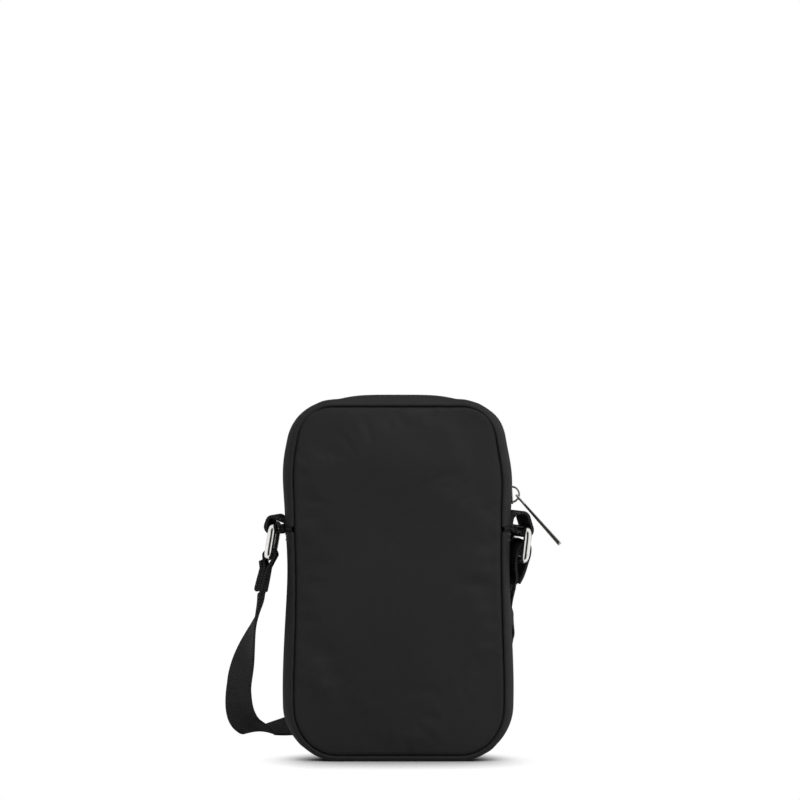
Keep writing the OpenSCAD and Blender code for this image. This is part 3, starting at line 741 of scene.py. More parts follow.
@dataclass(frozen=True)
class Cloth(Finish):
    """A woven finish: a weave of some pitch and depth, painted shade and highlight, and a soft mottle."""

    weave: Weave
    pitch: float
    depth: float
    deep: Triple
    top: Triple
    rough: float
    gloss: float
    mottle: float = 0.25

    def look(self, w: Wiring) -> dict:
        """Paints shade in the yarns' gaps and highlight on their tops, and clouds their tone and roughness.

        Args:
            w: The material's wiring.

        Returns:
            What feeds each input of the shader.
        """
        cloth = w.add("UVMap", uv_map="cloth").outputs[0]
        yarn = w.add("Group", {"Vector": cloth, "Pitch": self.pitch}, node_tree=weave_group(self.weave))
        cloud = w.add("Group", {"Vector": w.add("TexCoord").outputs["Object"], "Cloud": 22.0,
                                "Grain": 1400.0}, node_tree=mottle_group()).outputs
        # Painted shade in the yarns' gaps (deep) and painted highlight on their tops (top).
        tone = w.blend(yarn.outputs["Shade"], (*self.deep, 1), (*self.top, 1))
        lift = [w.math("MULTIPLY_ADD", part, self.mottle, 1 - self.mottle / 2) for part in cloud]
        both = w.math("MULTIPLY", *lift)
        grey = w.add("CombineXYZ", {0: both, 1: both, 2: both}).outputs[0]
        colour = w.add("VectorMath", {0: tone, 1: grey}, operation="MULTIPLY")
        bump = w.add("Bump", {"Height": yarn.outputs["Height"], "Distance": self.depth, "Strength": 1.0})
        return {"Base Color": colour.outputs[0], "Normal": bump.outputs[0],
                "Roughness": w.math("MULTIPLY_ADD", cloud["Cloud"], 0.16, self.rough - 0.08),
                "Specular IOR Level": self.gloss}


@dataclass(frozen=True)
class Metal(Finish):
    """A plated finish with hairline scuffs and a faint cloud in its gloss."""

    colour: Triple
    rough: float

    def look(self, w: Wiring) -> dict:
        """Dulls the metal along its scuffs, and clouds its roughness.

        Args:
            w: The material's wiring.

        Returns:
            What feeds each input of the shader.
        """
        place = w.add("TexCoord").outputs["Object"]
        scuff = w.add("Group", {"Vector": place}, node_tree=scuff_group()).outputs[0]
        cloud = w.add("Group", {"Vector": place, "Cloud": 160.0}, node_tree=mottle_group()).outputs["Cloud"]
        dull = tuple(0.82 * c for c in self.colour)
        base = w.math("MULTIPLY_ADD", cloud, 0.08, self.rough - 0.04)
        bump = w.add("Bump", {"Height": scuff, "Distance": 0.004 * MM, "Strength": 0.5})
        return {"Base Color": w.blend(scuff, (*self.colour, 1), (*dull, 1)), "Normal": bump.outputs[0],
                "Roughness": w.math("MULTIPLY_ADD", scuff, 0.10, base), "Metallic": 1.0}


@dataclass(frozen=True)
class Solid(Finish):
    """A moulded or foamed finish: one tone with a grain of some size and depth and its painted shade."""

    colour: Triple
    rough: float
    grain: float
    depth: float

    def look(self, w: Wiring) -> dict:
        """Paints shade in the grain's pits and highlight on its tops, and clouds the roughness.

        Args:
            w: The material's wiring.

        Returns:
            What feeds each input of the shader.
        """
        cloud = w.add("Group", {"Vector": w.add("TexCoord").outputs["Object"], "Cloud": 60.0,
                                "Grain": self.grain}, node_tree=mottle_group()).outputs
        # Painted shade in the grain's pits (dark) and painted highlight on its tops (light).
        dark, light = (tuple(level * c for c in self.colour) for level in (0.7, 1.2))
        bump = w.add("Bump", {"Height": cloud["Grain"], "Distance": self.depth, "Strength": 0.8})
        return {"Base Color": w.blend(cloud["Grain"], (*dark, 1), (*light, 1)), "Normal": bump.outputs[0],
                "Roughness": w.math("MULTIPLY_ADD", cloud["Cloud"], 0.2, self.rough - 0.1)}


# deep is painted shade in the gaps between the yarns, and top painted highlight on their tops.
NYLON = Cloth("black nylon", "nylon", Weave.PLAIN, pitch=0.42 * MM, depth=0.03 * MM,
              deep=(0.0085, 0.0085, 0.009), top=(0.0145, 0.0145, 0.015), rough=0.62, gloss=0.08)
WEBBING = Cloth("black webbing", "webbing", Weave.CHEVRON, pitch=1.25 * MM, depth=0.28 * MM,
                deep=(0.0015, 0.0015, 0.0017), top=(0.029, 0.029, 0.0295), rough=0.62, gloss=0.1)
LINING = Cloth("satin lining", "lining", Weave.PLAIN, pitch=0.3 * MM, depth=0.01 * MM,
               deep=(0.007, 0.007, 0.008), top=(0.012, 0.012, 0.013), rough=0.42, gloss=0.3)
BINDING = Cloth("ribbed binding", "binding", Weave.RIBBED, pitch=0.7 * MM, depth=0.08 * MM,
                deep=(0.004, 0.004, 0.0045), top=(0.01, 0.01, 0.0105), rough=0.7, gloss=0.12)
ZIP_TAPE = Cloth("zip tape", "zip_tape", Weave.RIBBED, pitch=0.5 * MM, depth=0.06 * MM,
                 deep=(0.003, 0.003, 0.0035), top=(0.009, 0.009, 0.0095), rough=0.68, gloss=0.12)
THREAD = Cloth("black thread", "thread", Weave.TWISTED, pitch=0.5 * MM, depth=0.06 * MM,
               deep=(0.012, 0.012, 0.0125), top=(0.06, 0.06, 0.062), rough=0.5, gloss=0.2)
COIL = Solid("zip coil nylon", "zip_coil", (0.006, 0.006, 0.0065), rough=0.42, grain=2400.0, depth=0.01 * MM)
FOAM = Solid("grey foam", "foam", (0.11, 0.11, 0.12), rough=0.9, grain=1500.0, depth=0.25 * MM)
POLISHED = Metal("polished nickel", "polished_metal", (0.86, 0.85, 0.83), rough=0.07)
SATIN = Metal("satin nickel", "polished_metal", (0.52, 0.51, 0.5), rough=0.26)


def settle_on(thing: Thing, finish: Finish, body: str, node: str) -> None:
    """Dresses a piece, makes it ride on a body and lets it stand for a CAD node.

    Args:
        thing: The piece.
        finish: Its material.
        body: The body that it rides on, or an empty name where it rides on none.
        node: The node that it replaces.
    """
    thing.data.materials.append(finish.build())
    if body:
        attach(thing, body)
    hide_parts(node)
    log.info("%s: %d faces", thing.name, len(thing.data.polygons))


@dataclass(frozen=True)
class Stations:
    """Places along the gusset's outline, the angle at which each faces, and the run to each."""

    place: Array
    angle: Array
    run: Array


@dataclass(frozen=True)
class Outline:
    """The pouch seen from the front: four round corners and sides that lean in from the seams."""

    width: float = 112.6 * MM
    height: float = 179.4 * MM
    depth: float = 34 * MM
    seam: float = 114 * MM
    top_r: float = 22 * MM
    bottom_r: float = 26 * MM
    top_narrow: float = 3.2 * MM
    bottom_narrow: float = 0.3 * MM
    swell: float = 5 * MM
    level: float = 14 * MM
    corner_out: float = 1.2 * MM

    @property
    def half_w(self) -> float:
        """Half the width at the side seams."""
        return self.width / 2

    @property
    def half_d(self) -> float:
        """Half the depth between the panels' rims."""
        return self.depth / 2

    @property
    def shoulder_r(self) -> float:
        """Radius of the gusset's shoulders, which fall by its swell."""
        return ((self.half_d - self.level / 2) ** 2 + self.swell**2) / (2 * self.swell)

    @property
    def top_centre(self) -> Array:
        """Centre of the upper right corner."""
        return np.array([self.half_w - self.top_narrow - self.top_r, self.height - self.top_r])

    @property
    def bottom_centre(self) -> Array:
        """Centre of the lower right corner."""
        return np.array([self.half_w - self.bottom_narrow - self.bottom_r, self.bottom_r])

    def lean(self, centre: Array, r: float) -> float:
        """Returns the lean of a side that touches a corner circle and passes the side seam."""
        run, rise = self.half_w - centre[0], abs(centre[1] - self.seam)
        return math.atan2(run, rise) - math.asin(r / math.hypot(run, rise))

    @property
    def upper_lean(self) -> float:
        """Lean of the upper sides from the vertical."""
        return self.lean(self.top_centre, self.top_r)

    @property
    def lower_lean(self) -> float:
        """Lean of the lower sides from the vertical."""
        return self.lean(self.bottom_centre, self.bottom_r)

    def skin(self, y: Array, drop: float = 0.0) -> Array:
        """Returns how far the gusset's surface lies under its middle, at a distance from it."""
        past = np.maximum(0, np.abs(y) - self.level / 2)
        return np.sqrt((self.shoulder_r - drop) ** 2 - past**2) - self.shoulder_r

    def stations(self, half: Half, start: float, step: float) -> Stations:
        """Walks round one half of the gusset.

        The right half is a straight side and a corner arc, and the left half mirrors it.

        Args:
            half: Which half.
            start: Distance from the side seams to the first and the last station.
            step: Spacing.

        Returns:
            Stations from right to left, over the top or under the bottom.
        """
        upper = half is Half.UPPER
        centre, r = (self.top_centre, self.top_r) if upper else (self.bottom_centre, self.bottom_r)
        lean = self.upper_lean if upper else -self.lower_lean
        seam = np.array([self.half_w, self.seam])
        way = np.array([-math.sin(lean), math.cos(lean)]) * (1 if upper else -1)
        turn = np.linspace(lean, math.pi / 2 if upper else -math.pi / 2, 60)
        right = np.vstack([seam + start * way, centre + r * facing(turn)])
        angle = np.r_[lean, turn]
        place = np.vstack([right, (right * [-1, 1])[::-1]])
        angle = np.r_[angle, (math.pi - angle if upper else -math.pi - angle)[::-1]]
        place, angle = even(place, step, angle[:, None])
        return Stations(place, angle[:, 0], run_along(place))

    def ring(self, inset: float, step: float) -> Array:
        """Draws the whole outline a distance in.

        The distance is less in the upper corners, by the squared sine of twice the angle.

        Args:
            inset: Distance from the outline.
            step: Spacing.

        Returns:
            A closed ring of x and z, with the first not repeated.
        """
        upper, lower = self.stations(Half.UPPER, 0, step), self.stations(Half.LOWER, 0, step)
        place = np.vstack([upper.place, lower.place[-2:0:-1]])
        angle = np.r_[upper.angle, lower.angle[-2:0:-1]]
        corner = np.sin(2 * angle) ** 2 * (place[:, 1] > self.seam)
        inner = place - (inset - self.corner_out * corner)[:, None] * facing(angle)
        right = inner[inner[:, 0] > 1e-6]
        jump = np.linalg.norm(right - np.roll(right, 1, axis=0), axis=1)
        right = np.roll(right, -int(np.argmax(jump)), axis=0)
        low, high = inner[:, 1].min(), inner[:, 1].max()
        ends = [[0, low], [0, high]] if right[0, 1] < right[-1, 1] else [[0, high], [0, low]]
        half, _ = even(np.vstack([ends[:1], right, ends[1:]]), step)
        return np.vstack([half, (half * [-1, 1])[-2:0:-1]])

    def zip_axes(self, rise: float) -> Axes:
        """Works out the axes on the right side's zip.

        Args:
            rise: Distance above the side seam, along the zip.

        Returns:
            Axes whose x points out of the bag, y along the zip and z across it.
        """
        c, s = math.cos(self.upper_lean), math.sin(self.upper_lean)
        along = np.array([-s, 0, c])
        seam = np.array([self.half_w, 0, self.seam])
        return Axes(seam + rise * along, np.array([c, 0, s]), along, -BACKWARDS)


@dataclass(frozen=True)
class Fold:
    """A soft fold in a panel, between two places on it given as x and z, all in millimetres."""

    a: tuple[float, float]
    b: tuple[float, float]
    reach: float
    rise: float

    def height(self, x: Array, z: Array) -> Array:
        """Works out the fold's height: its rise times a bell curve of the distance from its line.

        Args:
            x: Places along X.
            z: Places along Z.

        Returns:
            The height at each place, fading towards the ends of the line.
        """
        a, b = np.array(self.a) * MM, np.array(self.b) * MM
        way = b - a
        share = np.clip(((x - a[0]) * way[0] + (z - a[1]) * way[1]) / (way @ way), 0, 1)
        off = np.hypot(x - a[0] - share * way[0], z - a[1] - share * way[1])
        fade = 0.35 + 0.65 * np.sin(np.pi * np.clip(share, 0.02, 0.98))
        return self.rise * MM * fade * np.exp(-((off / (self.reach * MM)) ** 2))


@dataclass(frozen=True)
class Bell:
    """A bell curve along one direction: where it peaks, how far it reaches and how high it is."""

    peak: float
    reach: float
    height: float

    def at(self, value: Array) -> Array:
        """Returns height times e to the minus squared share of the reach."""
        return self.height * np.exp(-(((value - self.peak) / self.reach) ** 2))


@dataclass(frozen=True)
class Fade:
    """An eased rise from 0 to 1 along one direction: where it starts and how long it is."""

    start: float
    length: float

    def at(self, value: Array) -> Array:
        """Returns the eased share of the length that a value has passed."""
        return ease((value - self.start) / self.length)


@dataclass(frozen=True)
class Slump:
    """How the filled pouch settles.

    Its sides draw in under the tabs and swell above and below them, its ridge arches, its
    underside flattens on the table and its front drifts to the right.
    """

    shape: Outline
    waist: tuple[Bell, Bell] = (Bell(96 * MM, 24 * MM, 2.0 * MM), Bell(94 * MM, 24 * MM, 1.3 * MM))
    chest: tuple[Bell, Bell] = (Bell(145 * MM, 19 * MM, 2.6 * MM), Bell(140 * MM, 16.5 * MM, 2.2 * MM))
    hip: Bell = Bell(34 * MM, 26 * MM, 1.1 * MM)
    arch: Bell = Bell(38 * MM, 13 * MM, 3.3 * MM)
    drift: float = 0.7 * MM
    drift_end: Fade = Fade(65 * MM, 60 * MM)
    zip_share: float = 0.6
    zip_edge: Fade = Fade(3 * MM, 4 * MM)
    panel_share: float = 0.95
    ridge_edge: Fade = Fade(6 * MM, 9 * MM)
    ridge_foot: Fade = Fade(148 * MM, 14 * MM)
    flat_share: float = 0.95
    flat_end: Fade = Fade(3 * MM, 30 * MM)
    rim_share: float = 0.45
    rim_edge: Fade = Fade(14.5 * MM, 2.5 * MM)

    def settle(self, points: Array) -> Array:
        """Moves points of the soft body.

        X loses the waist's bell curve of the height and gains those of the chest and the hip,
        each times how near the point is to the side, and gains a drift that grows downwards
        and towards the front. Along the zip it gains less, which leaves a shallow valley. Z
        loses the arch's bell curve of X where the point is on the ridge, and near the table it
        loses most of the gusset's own fall towards the panels.

        Args:
            points: Places before the pouch settles.

        Returns:
            The places after.
        """
        x, y, z = points[..., 0], points[..., 1], points[..., 2]
        deep = np.abs(y)
        left = x < 0
        draw = np.where(left, self.waist[0].at(z), self.waist[1].at(z))
        swell = np.where(left, self.chest[0].at(z), self.chest[1].at(z)) + self.hip.at(z)
        swell = swell * (1 - self.zip_share * (1 - self.zip_edge.at(deep)) * (z > self.shape.seam))
        near = ease(np.abs(x) / self.shape.half_w)
        level = 1 - self.panel_share * np.clip(deep / self.shape.half_d, 0, 1) ** 2
        low = 1 - self.drift_end.at(z)
        moved = points.copy()
        moved[..., 0] = (x + np.sign(x) * near * (swell - draw * level)
                         - self.drift * low * y / self.shape.half_d)
        ridge = (1 - self.ridge_edge.at(deep)) * self.ridge_foot.at(z)
        fall = -self.shape.skin(np.minimum(deep, self.shape.half_d))
        rest = self.flat_share * (1 - self.rim_share * self.rim_edge.at(deep))
        down = 1 - self.flat_end.at(z)
        moved[..., 2] = z - self.arch.at(np.abs(x)) * ridge - fall * rest * down
        return moved


def ripple(run: Array, lengths: tuple[float, ...], seed: float) -> Array:
    """Returns a steady mix of sine waves of some lengths, between about -1 and 1."""
    waves = [np.sin(FULL_TURN * run / length + seed * (k + 1) ** 2) for k, length in enumerate(lengths)]
    return sum(waves) / len(waves)


def cloth_curve(outline: Outline, low: float, high: float, drop: float, turn_low: float,
                turn_high: float, tuck: float, step: float, tuck_high: float = 0) -> Array:
    """Follows the gusset's skin from one depth to another and turns its edges in.

    Past each edge the heading turns steadily towards the inside of the bag, and the places are
    the running sum of the headings.

    Args:
        outline: The pouch's shape.
        low: Depth at which the curve starts.
        high: Depth at which it ends.
        drop: Distance under the gusset's surface.
        turn_low: Angle by which the low edge turns in, in radians, or 0.
        turn_high: The same for the high edge.
        tuck: Length of each turned edge.
        step: Spacing.
        tuck_high: Length of the high edge where it isn't that of the low one.

    Returns:
        The places, as out and depth.
    """
    depth = np.linspace(low, high, max(3, int((high - low) / step)))
    curve = beside(outline.skin(depth, drop), depth)
    pieces = [curve]
    for end, turn in ((1, turn_high), (0, turn_low)):
        if not turn:
            continue
        inner = curve[-1] - curve[-2] if end else curve[0] - curve[1]
        heading = math.atan2(inner[1], inner[0])
        sign = 1 if end else -1
        count, length = 14, (tuck_high or tuck) if end else tuck
        bend = heading + sign * turn * np.minimum(1, np.linspace(0, 1.7, count))
        edge = (curve[-1] if end else curve[0]) + np.cumsum(length / count * facing(bend), axis=0)
        pieces = pieces + [edge] if end else [edge[::-1]] + pieces
    return even(np.vstack(pieces), step)[0]


def shell(curve: Array, thick: float, start: float = 0.0) -> tuple[Array, Array]:
    """Gives a curve a thickness towards the inside of the bag.

    Args:
        curve: Places as out and depth.
        thick: Thickness.
        start: Where the unrolled cloth starts.

    Returns:
        The closed section, and its place on the unrolled cloth with one more entry.
    """
    run = start + run_along(curve)
    ahead = unit(np.gradient(curve, axis=0))
    inside = curve + thick * beside(-ahead[:, 1], ahead[:, 0])
    return np.vstack([curve, inside[::-1]]), np.r_[run, run[::-1], run[0]]


@dataclass(frozen=True)
class Drape:
    """A short cloth simulation of a panel's face, held all round, that leaves natural ripples."""

    frames: int = 20
    step: float = 4.6 * MM
    rings: int = 13
    pressure: float = 4.0
    mass: float = 0.0008
    grow: float = 0.03
    low: float = -0.6 * MM
    high: float = 0.9 * MM

    def places(self, mesh: bpy.types.Mesh) -> Array:
        """Reads the places of a mesh's corners.

        Args:
            mesh: The mesh.

        Returns:
            The places, one to a row.
        """
        place = np.empty(3 * len(mesh.vertices), dtype=np.float32)
        mesh.vertices.foreach_get("co", place)
        return place.reshape(-1, 3)

    def sheet(self, points: Array, seed: int) -> tuple[Thing, Array]:
        """Makes the sheet that is simulated.

        Args:
            points: Places on a grid of rings, the first ring closed to a slit.
            seed: Start of the random ease in the cloth.

        Returns:
            The sheet, and for each place of the grid the number of its corner.
        """
        quads, _, _ = grid_faces(*points.shape[:2])
        mesh = bpy.data.meshes.new("drape")
        mesh.from_pydata(points.reshape(-1, 3).tolist(), [], quads.reshape(-1, 4).tolist())
        weld(mesh)
        place = self.places(mesh)
        gap = np.linalg.norm(points.reshape(-1, 1, 3) - place, axis=2)
        corner = np.argmin(gap, axis=1).reshape(points.shape[:2])
        sheet = placed("drape", mesh)
        sheet.vertex_groups.new(name="held").add([int(k) for k in corner[-1]], 1.0, "REPLACE")
        slack = sheet.vertex_groups.new(name="slack")
        rng = np.random.default_rng(seed)
        waves = sum(np.sin(place[:, 0] * a + place[:, 2] * b + c)
                    for a, b, c in zip(rng.normal(0, 90, 5), rng.normal(0, 70, 5), rng.uniform(0, 6, 5)))
        steps = 5
        grade = np.clip(np.floor((waves + 3) / 6 * steps), 0, steps - 1)
        for level in range(steps):
            slack.add([int(k) for k in np.flatnonzero(grade == level)], level / (steps - 1), "REPLACE")
        return sheet, corner

    def run(self, points: Array, face: Face, seed: int) -> Array:
        """Lets the sheet settle under pressure from inside and without gravity.

        Args:
            points: Places on a grid of rings, the first ring closed to a slit.
            face: Which way is out.
            seed: Start of the random ease in the cloth.

        Returns:
            How far each place of the grid moved out, held between the two limits.
        """
        sheet, corner = self.sheet(points, seed)
        cloth = sheet.modifiers.new("cloth", "CLOTH")
        rules = cloth.settings
        rules.quality, rules.mass, rules.air_damping = 6, self.mass, 4.0
        rules.tension_stiffness = rules.compression_stiffness = 4.0
        rules.shear_stiffness, rules.bending_stiffness = 1.5, 0.02
        rules.vertex_group_mass, rules.pin_stiffness = "held", 50.0
        rules.use_pressure, rules.uniform_pressure_force = True, self.pressure
        rules.shrink_min, rules.shrink_max = -self.grow, 0.004
        rules.vertex_group_shrink = "slack"
        rules.effector_weights.gravity = 0.0
        cloth.collision_settings.use_collision = False
        cloth.point_cache.frame_start, cloth.point_cache.frame_end = 1, self.frames
        scene = bpy.context.scene
        for number in range(1, self.frames + 1):
            scene.frame_set(number)
        worn = sheet.evaluated_get(bpy.context.evaluated_depsgraph_get())
        out = (self.places(worn.data)[corner][..., 1] - points[..., 1]) * face.value
        log.info("drape %s moved %.2f to %.2f mm", face.name, out.min() / MM, out.max() / MM)
        mesh = sheet.data
        bpy.data.objects.remove(sheet)
        bpy.data.meshes.remove(mesh)
        scene.frame_set(1)
        return np.clip(out - 0.5 * out.mean(), self.low, self.high)


@dataclass
class Body:
    """The padded nylon case: two panels with foam and lining, the gusset and the bindings."""

    shape: Outline = field(default_factory=Outline)
    crown: float = 2.6 * MM
    crown_power: float = 2.4
    rim_inset: float = 5.0 * MM
    roll_w: float = 3.2 * MM
    roll_d: float = 4.2 * MM
    lip: float = math.radians(122)
    tuck: float = 3.2 * MM
    rim_gap: float = 1.1 * MM
    nylon: float = 0.8 * MM
    gusset: float = 1.1 * MM
    foam: float = 2 * MM
    lining: float = 0.4 * MM
    pad_in: float = 2.6 * MM
    air: float = 0.1 * MM
    binding_w: float = 6 * MM
    binding_t: float = 0.35 * MM
    binding_half: float = 0.55 * MM
    binding_wall: float = 1.3 * MM
    seam_near: float = 7.8 * MM
    seam_far: float = 15.9 * MM
    seam_t: float = 0.7 * MM
    seam_sunk: float = 0.15 * MM
    seam_groove: float = 0.25 * MM
    pucker: float = 0.22 * MM
    wobble: float = 0.18 * MM
    wobble_at: Bell = Bell(13.5 * MM, 2.5 * MM, 1.0)
    step: float = 1.3 * MM
    fine: float = 0.4 * MM
    tab_clear: float = 1.5 * MM
    drape: Drape = field(default_factory=Drape)
    folds: tuple[Fold, ...] = (
        Fold((-42, 52), (-31, 24), 5, 0.9),
        Fold((-36, 58), (-25, 30), 6, -0.6),
        Fold((-46, 167), (48, 131), 16, 1.3),
        Fold((-30, 128), (44, 84), 20, -0.9),
        Fold((6, 164), (18, 155), 7, -0.5),
        Fold((24, 66), (44, 26), 14, -0.9),
        Fold((-46, 118), (-30, 106), 7, -0.6),
        Fold((46, 114), (33, 104), 7, -0.6),
    )

    def __post_init__(self) -> None:
        """Works out how the body settles."""
        self.slump = Slump(self.shape)
        self.moves: dict[Face, Array] = {}

    @property
    def rim(self) -> float:
        """Depth at which the gusset's cloth turns in."""
        return self.shape.half_d - self.rim_gap

    def relief(self, rim: Array, shares: Array, inset: float, depth: float) -> tuple[Array, Array, Array]:
        """Works out a panel's plain swollen face on rings that shrink from its rim.

        Args:
            rim: The outermost ring, as x and z.
            shares: Size of each ring as a share of the rim.
            inset: Distance of the rim from the outline.
            depth: Distance under the panel's own level.

        Returns:
            The places as x and z, their distances from the rim, and the level of each.
        """
        half, middle = self.shape.half_w, np.array([0, self.shape.height / 2])
        axis = beside(0.0, np.clip(rim[:, 1], half, self.shape.height - half))
        place = axis + (rim - axis) * shares[:, None, None]
        off = np.linalg.norm(rim - axis, axis=1) * (1 - shares[:, None])
        spread = np.abs((place - middle) / (np.array([half - inset, self.shape.height / 2 - inset])))
        round_share = np.clip((spread**4).sum(axis=-1) ** 0.25, 0, 1)
        return place, off, self.shape.half_d - depth + self.crown * (1 - round_share**self.crown_power)

    def creases(self, face: Face, rim: Array, place: Array, off: Array) -> Array:
        """Works out the height of a face's soft folds, and of the puckers along its seam.

        Args:
            face: Front or back. The back has only the two long folds.
            rim: The outermost ring, as x and z.
            place: Places as x and z.
            off: Their distances from the rim.

        Returns:
            The height at each place.
        """
        chosen = self.folds if face is Face.FRONT else self.folds[2:4]
        height = sum(fold.height(place[..., 0], place[..., 1]) for fold in chosen) * ease(off / (6 * MM))
        pucker = self.pucker * ripple(run_along(rim), (13 * MM, 8.3 * MM, 5.9 * MM), 2.1)
        return height + pucker * np.exp(-off / (4 * MM)) * ease(off / (1.5 * MM))

    def draped(self, face: Face, shares: Array, cols: int) -> Array:
        """Reads how far the simulated face moved out, on the finer grid of a layer.

        Args:
            face: Front or back. Each is simulated once.
            shares: Size of each of the layer's rings as a share of the panel's rim.
            cols: Number of the layer's columns.

        Returns:
            The movement, one row for each ring.
        """
        own = np.linspace(0, 0.985, self.drape.rings)
        if face not in self.moves:
            rim = self.shape.ring(self.rim_inset, self.drape.step)
            place, _, level = self.relief(rim, own, self.rim_inset, 0)
            points = at_depth(place, face.value * level)
            self.moves[face] = self.drape.run(points, face, 11 if face is Face.FRONT else 12)
        around = closed(self.moves[face].T).T
        run = np.linspace(0, 1, around.shape[1])
        fine = np.stack([np.interp(np.arange(cols) / cols, run, row) for row in around])
        return np.stack([np.interp(shares, own, column) for column in fine.T], axis=1)

    def layer(self, name: str, face: Face, inset: float, depth: float, thick: float,
              roll: float) -> Thing:
        """Makes one swollen layer of a panel.

        Rings shrink from the rim towards a line up the middle. The level is the rim's, plus a
        crown of 1 minus the share of the way out to a power, minus a quarter ellipse at the rim.

        Args:
            name: Name of the piece.
            face: Front or back.
            inset: Distance of its rim from the outline.
            depth: Distance under the panel's own level.
            thick: Thickness.
            roll: How far the rim turns down.

        Returns:
            The piece.
        """
        rim = self.shape.ring(inset, self.step)
        edge = 1 - np.linspace(0, 1, 9) ** 1.5 * self.roll_w / self.shape.half_w
        shares = np.r_[np.linspace(0, edge[-1], 34)[:-1], edge[::-1]]
        place, off, level = self.relief(rim, shares, inset, depth)
        out = np.clip(1 - off / self.roll_w, 0, 1)
        inside = off + inset - self.rim_inset
        level = level + self.creases(face, rim, place, inside)
        own = shares * (self.shape.half_w - inset) / (self.shape.half_w - self.rim_inset)
        level = level + self.draped(face, own, len(rim)) * ease(inside / (3 * MM))
        level = level - roll * (1 - np.sqrt(np.maximum(0, 1 - out**2)))
        upper = at_depth(place, face.value * level)
        lower = at_depth(place, face.value * (level - thick))
        points = np.concatenate([upper, lower[:0:-3], lower[:1]])
        flat = np.concatenate([points[..., [0, 2]], points[:, :1][..., [0, 2]]], axis=1)
        return piece(name, [Patch(points, flat, slit=True).moved(self.slump.settle)])

    def band(self, st: Stations, curve: Array, thick: float, face: Face, wobble: float = 0.0,
             start: float = 0.0) -> Patch:
        """Carries a strip of cloth round the gusset.

        A point is the station's place, plus its distance out times the way that the station
        faces. Where wobble isn't 0, a ripple along the run moves what lies near a long seam.

        Args:
            st: The stations.
            curve: The strip's outer line as out and depth.
            thick: Its thickness.
            face: Which way positive depth points.
            wobble: Height of the ripple.
            start: Where the unrolled cloth starts.

        Returns:
            The closed surface.
        """
        section, flat = shell(curve, thick, start)
        wave = ripple(st.run, (11 * MM, 7.1 * MM, 17 * MM), 1.3)[:, None]
        out = section[:, 0] + wobble * wave * self.wobble_at.at(np.abs(section[:, 1]))
        place = st.place[:, None] + out[..., None] * facing(st.angle)[:, None]
        points = at_depth(place, face.value * section[:, 1])
        return Patch(points, unrolled(st.run, flat)).moved(self.slump.settle)

    def panel(self, face: Face) -> None:
        """Builds one panel with the foam and the lining behind it, and the tape on its seam.

        Args:
            face: Front or back.
        """
        label, inset, under = face.label, self.rim_inset + self.pad_in, self.nylon + self.air
        cloth = self.layer(label + "_panel_cloth", face, self.rim_inset, 0, self.nylon, self.roll_d)
        settle_on(cloth, NYLON, "pouch", label + "_panel")
        foam = self.layer(label + "_foam_pad", face, inset, under, self.foam, 0)
        settle_on(foam, FOAM, "pouch", label + "_foam")
        inner = under + self.foam + self.air
        lining = self.layer(label + "_lining_cloth", face, inset, inner, self.lining, 0)
        settle_on(lining, LINING, "pouch", label + "_lining")
        settle_on(self.binding(face), BINDING, "pouch", label + "_binding")

    def binding(self, face: Face) -> Thing:
        """Makes a tape folded over one long seam inside, as a flattened U.

        Args:
            face: Front or back.

        Returns:
            The piece.
        """
        rim, leg, half = self.rim, self.binding_w / 2, self.binding_half
        outer = float(self.shape.skin(np.array([rim]), self.binding_wall)[0]) - self.rim_gap
        turn = np.linspace(math.pi / 2, -math.pi / 2, 7)
        bend = [outer, rim - half] + half * beside(np.sin(turn), np.cos(turn))
        curve, _ = even(np.vstack([[[outer + half, rim - leg]], bend, [[outer - half, rim - leg]]]), 0.5 * MM)
        runs = [self.shape.stations(half_run, 1 * MM, 2 * self.step) for half_run in Half]
        patches = [self.band(run, curve, self.binding_t, face) for run in runs]
        return piece(face.label + "_binding_tape", patches)

    def seam_tapes(self) -> Thing:
        """Makes the tapes that bind the side seams, before and behind each tab.

        Returns:
            The piece, with a shallow groove along each seam.
        """
        patches = []
        rise = self.tab_clear - 0.3 * MM
        depth = np.linspace(self.seam_near, self.seam_far, 12)
        section, around = shell(beside(self.shape.skin(depth) - self.seam_sunk, depth), self.seam_t)
        height = np.linspace(-rise, rise, 7)
        groove = self.seam_groove * np.cos(height / rise * math.pi)
        for side in Side:
            for face in Face:
                x = side.value * (self.shape.half_w + section[:, 0] + groove[:, None])
                points = beside(x, face.value * section[:, 1], (self.shape.seam + height)[:, None])
                tape = Patch(points, unrolled(height, around))
                patches.append(tape.moved(self.slump.settle))
        return piece("side_seam_tape", patches)

    def build(self) -> None:
        """Builds and dresses every cloth piece of the case."""
        for face in Face:
            self.panel(face)
        shape, rim = self.shape, self.rim
        curve = cloth_curve(shape, -rim, rim, 0, self.lip, self.lip, self.tuck, self.fine)
        lower = shape.stations(Half.LOWER, self.tab_clear, self.step)
        gusset = piece("lower_gusset_cloth", [self.band(lower, curve, self.gusset, Face.BACK, self.wobble)])
        settle_on(gusset, NYLON, "pouch", "lower_gusset")
        reach = rim - self.binding_w
        curve = cloth_curve(shape, -reach, reach, self.gusset + self.air, 0, 0, 0, 1.2 * MM)
        inner = shape.stations(Half.LOWER, 3 * MM, 2 * self.step)
        lining = piece("gusset_lining_cloth", [self.band(inner, curve, self.lining, Face.BACK)])
        settle_on(lining, LINING, "pouch", "gusset_lining")
        settle_on(self.seam_tapes(), BINDING, "pouch", "side_seam_tapes")


